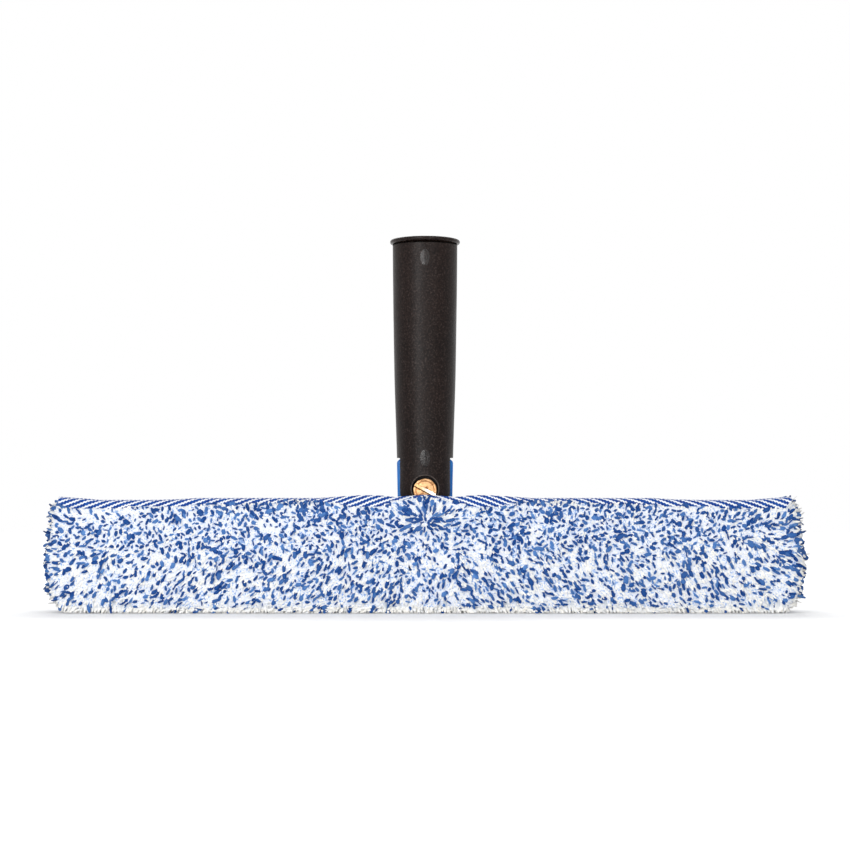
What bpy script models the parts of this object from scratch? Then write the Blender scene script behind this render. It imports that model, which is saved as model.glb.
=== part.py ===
"""Window washer: a microfibre sleeve on a T-bar, under a handle that swings on a brass screw.

Run it with: blender --background --python part.py

Metres, +Z up. X runs along the bar and -Y is the front. The origin is the bottom centre of the sleeve.
"""

import math

import bmesh
import bpy
from mathutils import Matrix, Vector

MM = 0.001
GAP = 0.3 * MM

# Sleeve, the pile included
SLEEVE_LENGTH = 362.0 * MM
SLEEVE_FOOT = 28.0 * MM
SLEEVE_MIDDLE = 26.0 * MM
SLEEVE_END_ROUND = 5.0 * MM
BACKING_THICK = 1.0 * MM
BAND_THICK = 1.2 * MM
BAND_LENGTH = 348.6 * MM
BACKING_TOP_SHUT = 52.0 * MM
BACKING_TOP_OPEN = 48.6 * MM
BACKING_PAST_BAR = 4.5 * MM
FLARE_TOP = 46.0 * MM
FLARE_BEND = 40.0 * MM
FLARE_START = 33.0 * MM
ABOVE_SLEEVE = 70.0 * MM

# The opening in the top of the sleeve: fully spread inside OPEN_HALF, sewn shut beyond SHUT_HALF
OPEN_HALF = 36.0 * MM
SHUT_HALF = 56.0 * MM
LIP_INSIDE = 13.75 * MM

# Cross bar of the T-bar
BAR_LENGTH = 344.0 * MM
BAR_DEPTH = 14.0 * MM
BAR_BOTTOM = 10.0 * MM
BAR_TOP = 52.5 * MM
DIP_TOP = 44.5 * MM
DIP_HALF = 24.0 * MM
RAMP_HALF = 40.0 * MM
CAP_THICK = 4.0 * MM
POCKET_WIDTH = 24.0 * MM
POCKET_PITCH = 27.5 * MM
POCKET_START = 30.0 * MM
POCKET_CORNER = 3.0 * MM
POCKETS_A_SIDE = 5
RAIL = 5.0 * MM
HOLLOW_DEPTH = 12.0 * MM
HOLLOW_WALL = 2.0 * MM
HOLLOW_RAIL = 2.5 * MM
PLUG_LENGTH = 8.0 * MM
CAP_ROUND = 1.2 * MM

# Tongue and pivot
PIVOT_Z = 58.5 * MM
TONGUE_RADIUS = 19.3 * MM
TONGUE_TOP_HALF = 13.5 * MM
TONGUE_FOOT_HALF = 13.1 * MM
TONGUE_THICK = 7.0 * MM
TONGUE_FLARE = 6.5 * MM
BUSH_RADIUS = 4.6 * MM
SHAFT_RADIUS = 3.0 * MM
SHAFT_HOLE = 3.4 * MM
FRICTION_WASHER_RADIUS = 9.5 * MM
FRICTION_WASHER_THICK = 0.5 * MM

# Handle
HANDLE_TOP = 179.4 * MM
FLANGE_RADIUS = 16.8 * MM
FLANGE_THICK = 2.2 * MM
BORE_MOUTH = 13.2 * MM
BORE_FLOOR_RADIUS = 10.9 * MM
BORE_FLOOR = 84.0 * MM
EAR_HALF = 12.0 * MM
EAR_INSIDE = 4.6 * MM
SHOULDER_Z = 74.2 * MM
SLOT_RADIUS = 19.8 * MM
COUNTERBORE_RADIUS = 6.35 * MM
COUNTERBORE_RISE = 0.55 * MM
COUNTERBORE_FLOOR = 7.4 * MM
NUT_ACROSS_FLATS = 10.0 * MM
NUT_THICK = 3.2 * MM
NUT_POCKET_FLOOR = 7.4 * MM
HANDLE_SIDES = 66
RIB_WIDTH = 6.8 * MM
RIB_HEIGHT = 8.4 * MM
RIB_PROUD = 0.7 * MM
RIB_ROOT = 0.6 * MM
RIB_TIP = 0.15
UPPER_RIB_Z = 169.2 * MM
LOWER_RIB_Z = 73.7 * MM
BELOW_EARS = 38.0 * MM
BEYOND_HANDLE = 25.0 * MM
BORE_ROUND = 0.6 * MM
BORE_BEVEL = 0.5 * MM
NECK_FLARE = 0.15 * MM
NECK_DROP = 0.3 * MM

# Screw and washers
HEAD_RADIUS = 5.6 * MM
HEAD_THICK = 2.4 * MM
HEAD_WASHER_THICK = 0.8 * MM
HEAD_ROUND = 0.7 * MM
SLOT_WIDTH = 2.0 * MM
SLOT_DEPTH = 1.1 * MM
SLOT_ANGLE = math.radians(28.0)
SLOT_OVERRUN = 1.2
SHAFT_END = 12.0 * MM
SHAFT_BEVEL = 0.6 * MM
LOCK_WASHER_THICK = 0.9 * MM
LOCK_WASHER_RADIUS = 5.0 * MM

# Fastening of the sleeve
TAPE_THICK = 1.0 * MM
TAPE_WIDTH = 14.0 * MM
TAPE_HEIGHT = 38.0 * MM
THREAD_RADIUS = 0.35 * MM
SEAM_START = 64.0 * MM
SEAM_END = 172.0 * MM
SEAM_HALF = 2.2 * MM
SEAM_PITCH = 5.0 * MM
TACK_START = 57.0 * MM
TACK_END = 62.0 * MM
TACK_HALF = 3.6 * MM
TACK_PITCH = 2.5 * MM
HEM_STITCHES = 44

# Outer radius of the handle below its flange, from the top down: (height, radius)
HANDLE_TAPER = [
    (177.0 * MM, 15.6 * MM),
    (158.0 * MM, 15.45 * MM),
    (138.6 * MM, 15.2 * MM),
    (112.5 * MM, 14.75 * MM),
    (93.0 * MM, 14.15 * MM),
    (75.5 * MM, 13.6 * MM),
    (60.0 * MM, 13.3 * MM),
    (44.0 * MM, 13.1 * MM),
]

# Middle line of a selvage band across its width, from its inner edge out: (distance from the middle, height)
BAND_SHUT = [(0.75, 53.55), (5.0, 53.6), (9.6, 53.7), (13.4, 52.9), (15.6, 49.2)]
BAND_OPEN = [(14.45, 49.8), (14.4, 53.4), (15.6, 55.7), (17.3, 54.0), (18.6, 50.0)]

# Half of the pile's outline in the same millimetres, from the top centre down to the foot
PILE_SHUT = [(0, 51.4), (8.6, 51.3), (11.2, 50.3), (13.2, 48.4), (15.2, 47.9), (18.2, 45.6), (20.2, 40.5)]
PILE_OPEN = [(0, 48.8), (15.1, 48.8), (16.4, 48.8), (17.6, 48.9), (19.0, 48.4), (20.2, 45.5), (20.8, 40.5)]
PILE_FLANK = [(21.0, 34.0), (21.0, 9.0), (20.1, 4.0), (17.6, 1.0)]

BLUE_PLASTIC = (0.045, 0.165, 0.42)
BLACK_PLASTIC = (0.030, 0.024, 0.022)
BRASS = (0.72, 0.50, 0.24)
STEEL = (0.55, 0.55, 0.56)
NYLON = (0.78, 0.76, 0.70)
PILE_BLUE = (0.45, 0.53, 0.70)
BAND_BLUE = (0.40, 0.50, 0.72)
BACKING_WHITE = (0.74, 0.76, 0.80)
HOOK_GREY = (0.62, 0.64, 0.68)
LOOP_WHITE = (0.80, 0.80, 0.82)
THREAD_WHITE = (0.86, 0.86, 0.88)


def clear_scene():
    for existing in list(bpy.data.objects):
        bpy.data.objects.remove(existing, do_unlink=True)


def collection(name):
    made = bpy.data.collections.new(name)
    bpy.context.scene.collection.children.link(made)
    return made


def material(name, colour, roughness, metallic=0.0):
    made = bpy.data.materials.new(name)
    made.use_nodes = True
    shader = made.node_tree.nodes["Principled BSDF"]
    shader.inputs["Base Color"].default_value = (*colour, 1.0)
    shader.inputs["Roughness"].default_value = roughness
    shader.inputs["Metallic"].default_value = metallic
    made.diffuse_color = (*colour, 1.0)
    return made


def smoothstep(low, high, value):
    t = min(max((value - low) / (high - low), 0.0), 1.0)
    return t * t * (3.0 - 2.0 * t)


def mix(a, b, t):
    return a + (b - a) * t


def mix_points(first, second, t):
    return [(mix(a[0], b[0], t), mix(a[1], b[1], t)) for a, b in zip(first, second)]


def spread(x):
    """How far the sleeve's opening is spread at x: 1 beside the handle, 0 where it is sewn shut."""
    return 1.0 - smoothstep(OPEN_HALF, SHUT_HALF, abs(x))


class Model:
    """The object's collections, and the ways its pieces are made."""

    def __init__(self):
        self.parts = collection("window_washer")
        self.cutters = collection("cutters")

    def add(self, name, mesh, mat=None):
        made = bpy.data.objects.new(name, mesh)
        home = self.cutters if mat is None else self.parts
        home.objects.link(made)
        if mat is None:
            made.hide_render = True
            made.display_type = "WIRE"
        else:
            made.data.materials.append(mat)
        return made

    def from_bmesh(self, name, bm, mat=None):
        mesh = bpy.data.meshes.new(name)
        bmesh.ops.recalc_face_normals(bm, faces=bm.faces)
        bm.to_mesh(mesh)
        bm.free()
        return self.add(name, mesh, mat)

    def box(self, name, low, high, mat=None):
        bm = bmesh.new()
        size = Vector(high) - Vector(low)
        middle = (Vector(high) + Vector(low)) / 2.0
        bmesh.ops.create_cube(bm, size=1.0, matrix=Matrix.Translation(middle) @ Matrix.Diagonal((*size, 1.0)))
        return self.from_bmesh(name, bm, mat)

    def cylinder(self, name, radius, start, end, mat=None, segments=48):
        """A round or polygonal bar between two points on a line parallel to an axis."""
        start, end = Vector(start), Vector(end)
        along = (end - start).normalized()
        frame = along.to_track_quat("Z", "Y").to_matrix().to_4x4()
        place = Matrix.Translation((start + end) / 2.0) @ frame
        bm = bmesh.new()
        bmesh.ops.create_cone(bm, cap_ends=True, segments=segments, radius1=radius, radius2=radius,
                              depth=(end - start).length, matrix=place)
        return self.from_bmesh(name, bm, mat)

    def turned(self, name, profile, mat=None, steps=64):
        """A profile of (radius, height) points turned about Z, from the outer side's top downwards."""
        mesh = bpy.data.meshes.new(name)
        points = [(radius, 0.0, height) for radius, height in profile]
        mesh.from_pydata(points, [(i, i + 1) for i in range(len(points) - 1)], [])
        made = self.add(name, mesh, mat)
        screw = made.modifiers.new("turn", "SCREW")
        screw.axis = "Z"
        screw.steps = steps
        screw.render_steps = steps
        screw.use_merge_vertices = True
        screw.merge_threshold = 0.00001
        return made

    def plate(self, name, outlines, low_y, high_y, mat=None):
        """Flat outlines in X and Z, the later ones holes in the first, made as thick as low_y to high_y."""
        curve = bpy.data.curves.new(name, "CURVE")
        curve.dimensions = "2D"
        curve.fill_mode = "BOTH"
        curve.resolution_u = 1
        curve.render_resolution_u = 0
        curve.extrude = (high_y - low_y) / 2.0
        for outline in outlines:
            spline = curve.splines.new("POLY")
            spline.points.add(len(outline) - 1)
            for point, (x, z) in zip(spline.points, outline):
                point.co = (x, z, 0.0, 1.0)
            spline.use_cyclic_u = True
        flat = self.add(name + "_outline", curve)
        upright = Matrix.Rotation(math.pi / 2.0, 4, "X")
        flat.matrix_world = Matrix.Translation((0.0, (low_y + high_y) / 2.0, 0.0)) @ upright
        return self.solid_from_curve(name, flat, mat)

    def solid_from_curve(self, name, drawn, mat=None):
        """The mesh of a curve object, its caps joined on, in place of the curve."""
        bpy.context.view_layer.update()
        graph = bpy.context.evaluated_depsgraph_get()
        mesh = bpy.data.meshes.new_from_object(drawn.evaluated_get(graph))
        place = drawn.matrix_world.copy()
        bpy.data.objects.remove(drawn, do_unlink=True)
        bm = bmesh.new()
        bm.from_mesh(mesh)
        bmesh.ops.remove_doubles(bm, verts=bm.verts, dist=0.00001)
        bmesh.ops.recalc_face_normals(bm, faces=bm.faces)
        bm.transform(place)
        bm.to_mesh(mesh)
        bm.free()
        mesh.materials.clear()
        return self.add(name, mesh, mat)

    def loft(self, name, rings, mat=None):
        """A closed solid through rings of as many points each."""
        bm = bmesh.new()
        made = [[bm.verts.new(point) for point in ring] for ring in rings]
        count = len(rings[0])
        for here, there in zip(made, made[1:]):
            for i in range(count):
                j = (i + 1) % count
                bm.faces.new((here[i], here[j], there[j], there[i]))
        bm.faces.new(made[0])
        bm.faces.new(made[-1])
        return self.from_bmesh(name, bm, mat)

    def sheet(self, name, rows, thickness, mat=None):
        """An open surface through rows of points, thickened evenly to both sides."""
        bm = bmesh.new()
        made = [[bm.verts.new(point) for point in row] for row in rows]
        for here, there in zip(made, made[1:]):
            for i in range(len(here) - 1):
                bm.faces.new((here[i], here[i + 1], there[i + 1], there[i]))
        sheet = self.from_bmesh(name, bm, mat)
        solidify = sheet.modifiers.new("thickness", "SOLIDIFY")
        solidify.thickness = thickness
        solidify.offset = 0.0
        solidify.use_even_offset = True
        return sheet

    def thread(self, name, points, mat):
        """A round thread along points."""
        curve = bpy.data.curves.new(name, "CURVE")
        curve.dimensions = "3D"
        curve.bevel_depth = THREAD_RADIUS
        curve.bevel_resolution = 1
        curve.resolution_u = 1
        curve.render_resolution_u = 0
        curve.use_fill_caps = True
        spline = curve.splines.new("POLY")
        spline.points.add(len(points) - 1)
        for point, place in zip(spline.points, points):
            point.co = (*place, 1.0)
        return self.solid_from_curve(name, self.add(name + "_path", curve), mat)

    def combine(self, target, cutter, operation="DIFFERENCE"):
        step = target.modifiers.new(cutter.name, "BOOLEAN")
        step.operation = operation
        step.object = cutter
        step.solver = "EXACT"

    def settle(self, made, smooth_angle=35.0, origin=None):
        """Applies the modifiers, shades round faces smooth and sets the origin."""
        bpy.context.view_layer.update()
        graph = bpy.context.evaluated_depsgraph_get()
        mesh = bpy.data.meshes.new_from_object(made.evaluated_get(graph))
        made.modifiers.clear()
        made.data = mesh
        mesh.shade_smooth()
        mesh.set_sharp_from_angle(angle=math.radians(smooth_angle))
        if origin is not None:
            mesh.transform(Matrix.Translation(-Vector(origin)))
            made.location = origin
        return made


def arc(centre, radius, start_deg, end_deg, steps):
    """Points on a circle in X and Z. 0 degrees is +X and 90 is up."""
    found = []
    for i in range(steps + 1):
        angle = math.radians(mix(start_deg, end_deg, i / steps))
        found.append((centre[0] + radius * math.cos(angle), centre[1] + radius * math.sin(angle)))
    return found


def rounded_window(low, high, radius):
    """A rectangle in X and Z with round corners."""
    points = []
    corners = [(high[0], high[1], 0), (low[0], high[1], 90), (low[0], low[1], 180), (high[0], low[1], 270)]
    for x, z, start in corners:
        inward_x = -radius if x == high[0] else radius
        inward_z = -radius if z == high[1] else radius
        points += arc((x + inward_x, z + inward_z), radius, start, start + 90, 4)
    return points


def smooth_curve(points, steps):
    """Points on a smooth curve through the given ones, with as many steps between each two."""
    ends = [points[0]] + list(points) + [points[-1]]
    found = []
    for i in range(len(points) - 1):
        a, b, c, d = (Vector(p) for p in ends[i:i + 4])
        for k in range(steps):
            t = k / steps
            found.append(0.5 * (2 * b + (c - a) * t + (2 * a - 5 * b + 4 * c - d) * t * t
                                + (3 * b - a - 3 * c + d) * t * t * t))
    return found + [Vector(points[-1])]


def both_signs(values):
    return sorted({-value for value in values} | set(values))


def sleeve_stations():
    """Places along X at which the sleeve's sections are drawn, closer where the lips spread."""
    steps = [0.0, 8.0, 16.0, 26.0, 36.0, 39.0, 42.0, 44.5, 47.0, 50.0, 53.0, 56.0, 80.0, 110.0, 145.0]
    return [step * MM for step in steps]


# The T-bar and what is fixed to it

def bar_outline():
    half = BAR_LENGTH / 2.0 - CAP_THICK
    top = [(half, BAR_TOP), (RAMP_HALF, BAR_TOP), (DIP_HALF, DIP_TOP)]
    left = [(-x, z) for x, z in reversed(top)]
    return [(half, BAR_BOTTOM)] + top + left + [(-half, BAR_BOTTOM)]


def pocket_outlines():
    outlines = []
    for side in (-1, 1):
        for i in range(POCKETS_A_SIDE):
            middle = side * (POCKET_START + i * POCKET_PITCH)
            top = (BAR_TOP if i else DIP_TOP) - RAIL
            low = (middle - POCKET_WIDTH / 2.0, BAR_BOTTOM + RAIL)
            high = (middle + POCKET_WIDTH / 2.0, top)
            outlines.append(rounded_window(low, high, POCKET_CORNER))
    return outlines


def tongue_outline():
    """The head is a disc about the pivot with its sides cut off, and the foot flares into the bar."""
    foot_z = DIP_TOP - 1.5 * MM
    corner = math.degrees(math.acos(TONGUE_TOP_HALF / TONGUE_RADIUS))
    head = arc((0.0, PIVOT_Z), TONGUE_RADIUS, corner, 180.0 - corner, 20)
    flare_x = TONGUE_FOOT_HALF + TONGUE_FLARE
    flare_z = DIP_TOP + TONGUE_FLARE
    right = [(flare_x, foot_z)] + arc((flare_x, flare_z), TONGUE_FLARE, 270.0, 180.0, 6)
    left = [(-x, z) for x, z in reversed(right)]
    return right + head + left


def make_t_bar(model, mat):
    half_depth = BAR_DEPTH / 2.0
    bar = model.plate("t_bar", [bar_outline()] + pocket_outlines(), -half_depth, half_depth, mat)
    tongue = model.plate("tongue", [tongue_outline()], -TONGUE_THICK / 2.0, TONGUE_THICK / 2.0)
    model.combine(bar, tongue, "UNION")
    hole = model.cylinder("bush_hole", BUSH_RADIUS + GAP, (0, -BAR_DEPTH, PIVOT_Z), (0, BAR_DEPTH, PIVOT_Z))
    model.combine(bar, hole)
    half = BAR_LENGTH / 2.0 - CAP_THICK
    for side in (-1, 1):
        ends = sorted((side * (half - HOLLOW_DEPTH), side * (half + CAP_THICK)))
        low = (ends[0], -half_depth + HOLLOW_WALL, BAR_BOTTOM + HOLLOW_RAIL)
        high = (ends[1], half_depth - HOLLOW_WALL, BAR_TOP - HOLLOW_RAIL)
        model.combine(bar, model.box("bar_end_hollow_%d" % side, low, high))
    return model.settle(bar, 30.0)


def make_end_cap(model, side, mat):
    """A plate over the bar's end, with a plug in the bar's hollow end."""
    name = "end_cap_left" if side < 0 else "end_cap_right"
    half_depth = BAR_DEPTH / 2.0
    inner = BAR_LENGTH / 2.0 - CAP_THICK + GAP
    ends = sorted((side * inner, side * BAR_LENGTH / 2.0))
    cap = model.box(name, (ends[0], -half_depth, BAR_BOTTOM), (ends[1], half_depth, BAR_TOP), mat)
    bevel = cap.modifiers.new("round", "BEVEL")
    bevel.width = CAP_ROUND
    bevel.segments = 3
    plug_ends = sorted((side * (inner - PLUG_LENGTH), side * (inner + CAP_ROUND)))
    wall = HOLLOW_WALL + GAP
    rail = HOLLOW_RAIL + GAP
    low = (plug_ends[0], -half_depth + wall, BAR_BOTTOM + rail)
    high = (plug_ends[1], half_depth - wall, BAR_TOP - rail)
    model.combine(cap, model.box(name + "_plug", low, high), "UNION")
    return model.settle(cap)


def ring(model, name, outer, inner, low_y, high_y, mat, segments=48):
    """A flat ring about the pivot's axis, between two places along Y."""
    made = model.cylinder(name, outer, (0, low_y, PIVOT_Z), (0, high_y, PIVOT_Z), mat, segments)
    hole = model.cylinder(name + "_hole", inner, (0, low_y - MM, PIVOT_Z), (0, high_y + MM, PIVOT_Z), None, 32)
    model.combine(made, hole)
    return model.settle(made, origin=(0.0, 0.0, PIVOT_Z))


# The handle and its screw

def handle_profile():
    mouth = BORE_MOUTH
    top = HANDLE_TOP
    under = HANDLE_TOP - FLANGE_THICK
    bore = [(0.0, BORE_FLOOR), (BORE_FLOOR_RADIUS - BORE_ROUND, BORE_FLOOR)]
    bore += [(BORE_FLOOR_RADIUS, BORE_FLOOR + BORE_ROUND), (mouth, top - BORE_BEVEL), (mouth + BORE_BEVEL, top)]
    flange = [(FLANGE_RADIUS - 0.7 * MM, top), (FLANGE_RADIUS - 0.2 * MM, top - 0.25 * MM)]
    flange += [(FLANGE_RADIUS, top - 0.8 * MM), (FLANGE_RADIUS, under + 0.8 * MM)]
    flange += [(FLANGE_RADIUS - 0.3 * MM, under + 0.2 * MM), (FLANGE_RADIUS - 0.9 * MM, under)]
    wall = [(radius, height) for height, radius in HANDLE_TAPER]
    neck = [(wall[0][0] + NECK_FLARE, under - NECK_DROP)]
    return bore + flange + neck + wall + [(0.0, wall[-1][1])]


def ear_trim_outline():
    """Everything below the shoulders and outside the two ears, which end round about the pivot."""
    far = BEYOND_HANDLE
    ear = arc((0.0, PIVOT_Z), EAR_HALF, 180.0, 360.0, 24)
    return [(-far, SHOULDER_Z), (-EAR_HALF, SHOULDER_Z)] + ear + [(EAR_HALF, SHOULDER_Z), (far, SHOULDER_Z),
                                                                  (far, BELOW_EARS), (-far, BELOW_EARS)]


def slot_outline():
    """The fork between the ears: a disc about the pivot, open downwards."""
    low = BELOW_EARS
    return [(SLOT_RADIUS, low)] + arc((0.0, PIVOT_Z), SLOT_RADIUS, 0.0, 180.0, 40) + [(-SLOT_RADIUS, low)]


def rib(model, name, height):
    """A small raised lozenge with an upright crest, on the front of the handle."""
    radius = next(r for h, r in HANDLE_TAPER if h <= height)
    depth = RIB_ROOT + RIB_PROUD
    at_crest = mix(1.0, RIB_TIP, RIB_ROOT / depth)
    edge_drop = radius - math.sqrt(radius ** 2 - (RIB_WIDTH / 2.0) ** 2)
    at_edge = mix(1.0, RIB_TIP, (RIB_ROOT - edge_drop) / depth)
    scale = Matrix.Diagonal((RIB_WIDTH / 2.0 / at_edge, RIB_HEIGHT / 2.0 / at_crest, 1.0, 1.0))
    place = Matrix.Translation((0.0, -radius + (RIB_ROOT - RIB_PROUD) / 2.0, height))
    turn = Matrix.Rotation(math.pi / 2.0, 4, "X")
    bm = bmesh.new()
    bmesh.ops.create_cone(bm, cap_ends=True, segments=4, radius1=1.0, radius2=RIB_TIP,
                          depth=depth, matrix=place @ turn @ scale)
    return model.from_bmesh(name, bm)


def make_handle(model, mat):
    handle = model.turned("handle", handle_profile(), mat, HANDLE_SIDES)
    far = BEYOND_HANDLE
    model.combine(handle, model.plate("ear_trim", [ear_trim_outline()], -far, far))
    model.combine(handle, model.plate("fork_slot", [slot_outline()], -EAR_INSIDE, EAR_INSIDE))
    bore_z = PIVOT_Z + COUNTERBORE_RISE
    counterbore = model.cylinder("counterbore", COUNTERBORE_RADIUS, (0, -far, bore_z),
                                 (0, -COUNTERBORE_FLOOR, bore_z))
    model.combine(handle, counterbore)
    shaft_hole = model.cylinder("shaft_hole", SHAFT_HOLE, (0, -far, PIVOT_Z), (0, far, PIVOT_Z), None, 32)
    model.combine(handle, shaft_hole)
    nut_radius = (NUT_ACROSS_FLATS / 2.0 + GAP) / math.cos(math.pi / 6.0)
    nut_pocket = model.cylinder("nut_pocket", nut_radius, (0, NUT_POCKET_FLOOR, PIVOT_Z), (0, far, PIVOT_Z),
                                None, 6)
    model.combine(handle, nut_pocket)
    for name, height in (("upper_rib", UPPER_RIB_Z), ("lower_rib", LOWER_RIB_Z)):
        model.combine(handle, rib(model, name, height), "UNION")
    return model.settle(handle, 30.0, (0.0, 0.0, PIVOT_Z))


def make_pivot_screw(model, mat):
    head_top = COUNTERBORE_FLOOR + 2.0 * GAP + HEAD_WASHER_THICK + HEAD_THICK
    shoulder = HEAD_RADIUS - HEAD_ROUND * (1.0 - math.sqrt(0.5))
    profile = [(0.0, head_top), (HEAD_RADIUS - HEAD_ROUND, head_top)]
    profile += [(shoulder, head_top - HEAD_RADIUS + shoulder), (HEAD_RADIUS, head_top - HEAD_ROUND)]
    profile += [(HEAD_RADIUS, head_top - HEAD_THICK), (SHAFT_RADIUS, head_top - HEAD_THICK)]
    profile += [(SHAFT_RADIUS, SHAFT_BEVEL - SHAFT_END), (SHAFT_RADIUS - SHAFT_BEVEL, -SHAFT_END)]
    profile += [(0.0, -SHAFT_END)]
    screw = model.turned("pivot_screw", profile, mat, 48)
    reach = HEAD_RADIUS * SLOT_OVERRUN
    slot = model.box("driver_slot", (-reach, -SLOT_WIDTH / 2.0, head_top - SLOT_DEPTH),
                     (reach, SLOT_WIDTH / 2.0, head_top + MM))
    slot.data.transform(Matrix.Rotation(-SLOT_ANGLE, 4, "Z"))
    model.combine(screw, slot)
    model.settle(screw, 30.0)
    screw.data.transform(Matrix.Rotation(math.pi / 2.0, 4, "X"))
    screw.location = (0.0, 0.0, PIVOT_Z)
    return screw


def make_hex_nut(model, mat):
    low = NUT_POCKET_FLOOR + 2.0 * GAP + LOCK_WASHER_THICK
    radius = NUT_ACROSS_FLATS / 2.0 / math.cos(math.pi / 6.0)
    nut = model.cylinder("hex_nut", radius, (0, low, PIVOT_Z), (0, low + NUT_THICK, PIVOT_Z), mat, 6)
    hole = model.cylinder("nut_thread", SHAFT_RADIUS + GAP, (0, low - MM, PIVOT_Z),
                          (0, low + NUT_THICK + MM, PIVOT_Z), None, 32)
    model.combine(nut, hole)
    return model.settle(nut, 30.0, (0.0, 0.0, PIVOT_Z))


# The sleeve

def backing_half(x, outward):
    """Half a section of the backing's trough, from its top edge down to the middle of its floor."""
    wall = BAR_DEPTH / 2.0 + GAP + outward
    top_wall = mix(wall, LIP_INSIDE + outward, spread(x))
    floor = BAR_BOTTOM - GAP - outward
    corner = 0.2 * MM + 0.6 * outward
    return [(top_wall, FLARE_TOP), (mix(wall, top_wall, 0.45), FLARE_BEND), (wall, FLARE_START),
            (wall, floor + corner), (wall - corner, floor)]


def trough_ring(x, outward, top):
    """A closed section of the trough at x, grown outward by an amount and cut off at a height."""
    half = backing_half(x, outward)
    half = [(half[0][0], top)] + half
    return [(x, -y, z) for y, z in half] + [(x, y, z) for y, z in reversed(half)]


def trough_cutter(model, name, outward, half_length):
    inner = [x for x in both_signs(sleeve_stations()) if abs(x) < half_length]
    rings = [trough_ring(x, outward, ABOVE_SLEEVE) for x in [-half_length] + inner + [half_length]]
    return model.loft(name, rings)


def make_backing(model, mat):
    half_length = BAR_LENGTH / 2.0 + BACKING_PAST_BAR
    places = [-half_length] + both_signs(sleeve_stations()) + [half_length]
    rings = [trough_ring(x, BACKING_THICK, mix(BACKING_TOP_SHUT, BACKING_TOP_OPEN, spread(x))) for x in places]
    backing = model.loft("sleeve_backing", rings, mat)
    model.combine(backing, trough_cutter(model, "backing_inside", 0.0, half_length - BACKING_THICK))
    return model.settle(backing)


def pile_ring(x, inset):
    """A closed section of the pile at x, shrunk by inset where the sleeve's end is rounded."""
    crown = mix_points(PILE_SHUT, PILE_OPEN, spread(x))
    half = [(y * MM, z * MM) for y, z in crown + PILE_FLANK] + [(SLEEVE_FOOT / 2.0, 0.0)]
    squeeze = 1.0 - inset / SLEEVE_MIDDLE
    half = [(y * squeeze, SLEEVE_MIDDLE + (z - SLEEVE_MIDDLE) * squeeze) for y, z in half]
    right = half[1:]
    return [(x, 0.0, half[0][1])] + [(x, y, z) for y, z in right] + [(x, -y, z) for y, z in reversed(right)]


def make_pile(model, mat):
    half = SLEEVE_LENGTH / 2.0
    end = [(half - SLEEVE_END_ROUND * (1 - math.cos(a)), SLEEVE_END_ROUND * (1 - math.sin(a)))
           for a in (math.radians(angle) for angle in (0.0, 30.0, 60.0, 90.0))]
    places = [(-x, inset) for x, inset in end]
    places += [(x, 0.0) for x in both_signs(sleeve_stations())]
    places += list(reversed(end))
    pile = model.loft("sleeve_pile", [pile_ring(x, inset) for x, inset in places], mat)
    hollow = trough_cutter(model, "pile_inside", BACKING_THICK + GAP, BAR_LENGTH / 2.0 + BACKING_PAST_BAR + GAP)
    model.combine(pile, hollow)
    return model.settle(pile)


def band_line(x):
    """The band's middle line at x. Its inner edge stays above the bar until it is clear of it."""
    line = mix_points(BAND_SHUT, BAND_OPEN, spread(x))
    edge_y = line[0][0]
    edge_z = mix(BAND_SHUT[0][1], BAND_OPEN[0][1], smoothstep(9.0, BAND_OPEN[0][0], edge_y))
    return smooth_curve([(edge_y, edge_z)] + line[1:], 3)


def band_places():
    end = BAND_LENGTH / 2.0
    return [-end] + both_signs(sleeve_stations()) + [end]


def make_band(model, side, mat):
    name = "selvage_band_front" if side < 0 else "selvage_band_rear"
    rows = [[(x, side * p.x * MM, p.y * MM) for p in band_line(x)] for x in band_places()]
    band = model.sheet(name, rows, BAND_THICK, mat)
    return model.settle(band, 60.0)


def make_tape(model, name, inner, mat):
    """A patch of fastening tape across the right end of the T-bar."""
    middle = (BAR_BOTTOM + BAR_TOP) / 2.0
    low = (inner, -TAPE_WIDTH / 2.0, middle - TAPE_HEIGHT / 2.0)
    high = (inner + TAPE_THICK, TAPE_WIDTH / 2.0, middle + TAPE_HEIGHT / 2.0)
    return model.settle(model.box(name, low, high, mat))


def zigzag(start, end, half_width, pitch, height):
    """Points of a zigzag along X whose turns are flattened."""
    count = int(round(abs(end - start) / pitch))
    step = (end - start) / count
    points = []
    for i in range(count):
        x = start + i * step
        points.append((x, -half_width, height))
        points.append((x + 0.34 * step, half_width, height))
        points.append((x + 0.50 * step, half_width, height))
        points.append((x + 0.84 * step, -half_width, height))
    return points


def make_top_seam(model, side, mat):
    name = "top_seam_thread_left" if side < 0 else "top_seam_thread_right"
    height = BAND_SHUT[1][1] * MM + BAND_THICK / 2.0 + GAP + THREAD_RADIUS
    points = zigzag(side * SEAM_START, side * SEAM_END, SEAM_HALF, SEAM_PITCH, height)
    return model.settle(model.thread(name, points, mat))


def make_bar_tack(model, side, mat):
    name = "bar_tack_left" if side < 0 else "bar_tack_right"
    height = BAND_SHUT[1][1] * MM + BAND_THICK / 2.0 + GAP + THREAD_RADIUS
    points = zigzag(side * TACK_START, side * TACK_END, TACK_HALF, TACK_PITCH, height)
    return model.settle(model.thread(name, points, mat))


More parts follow.
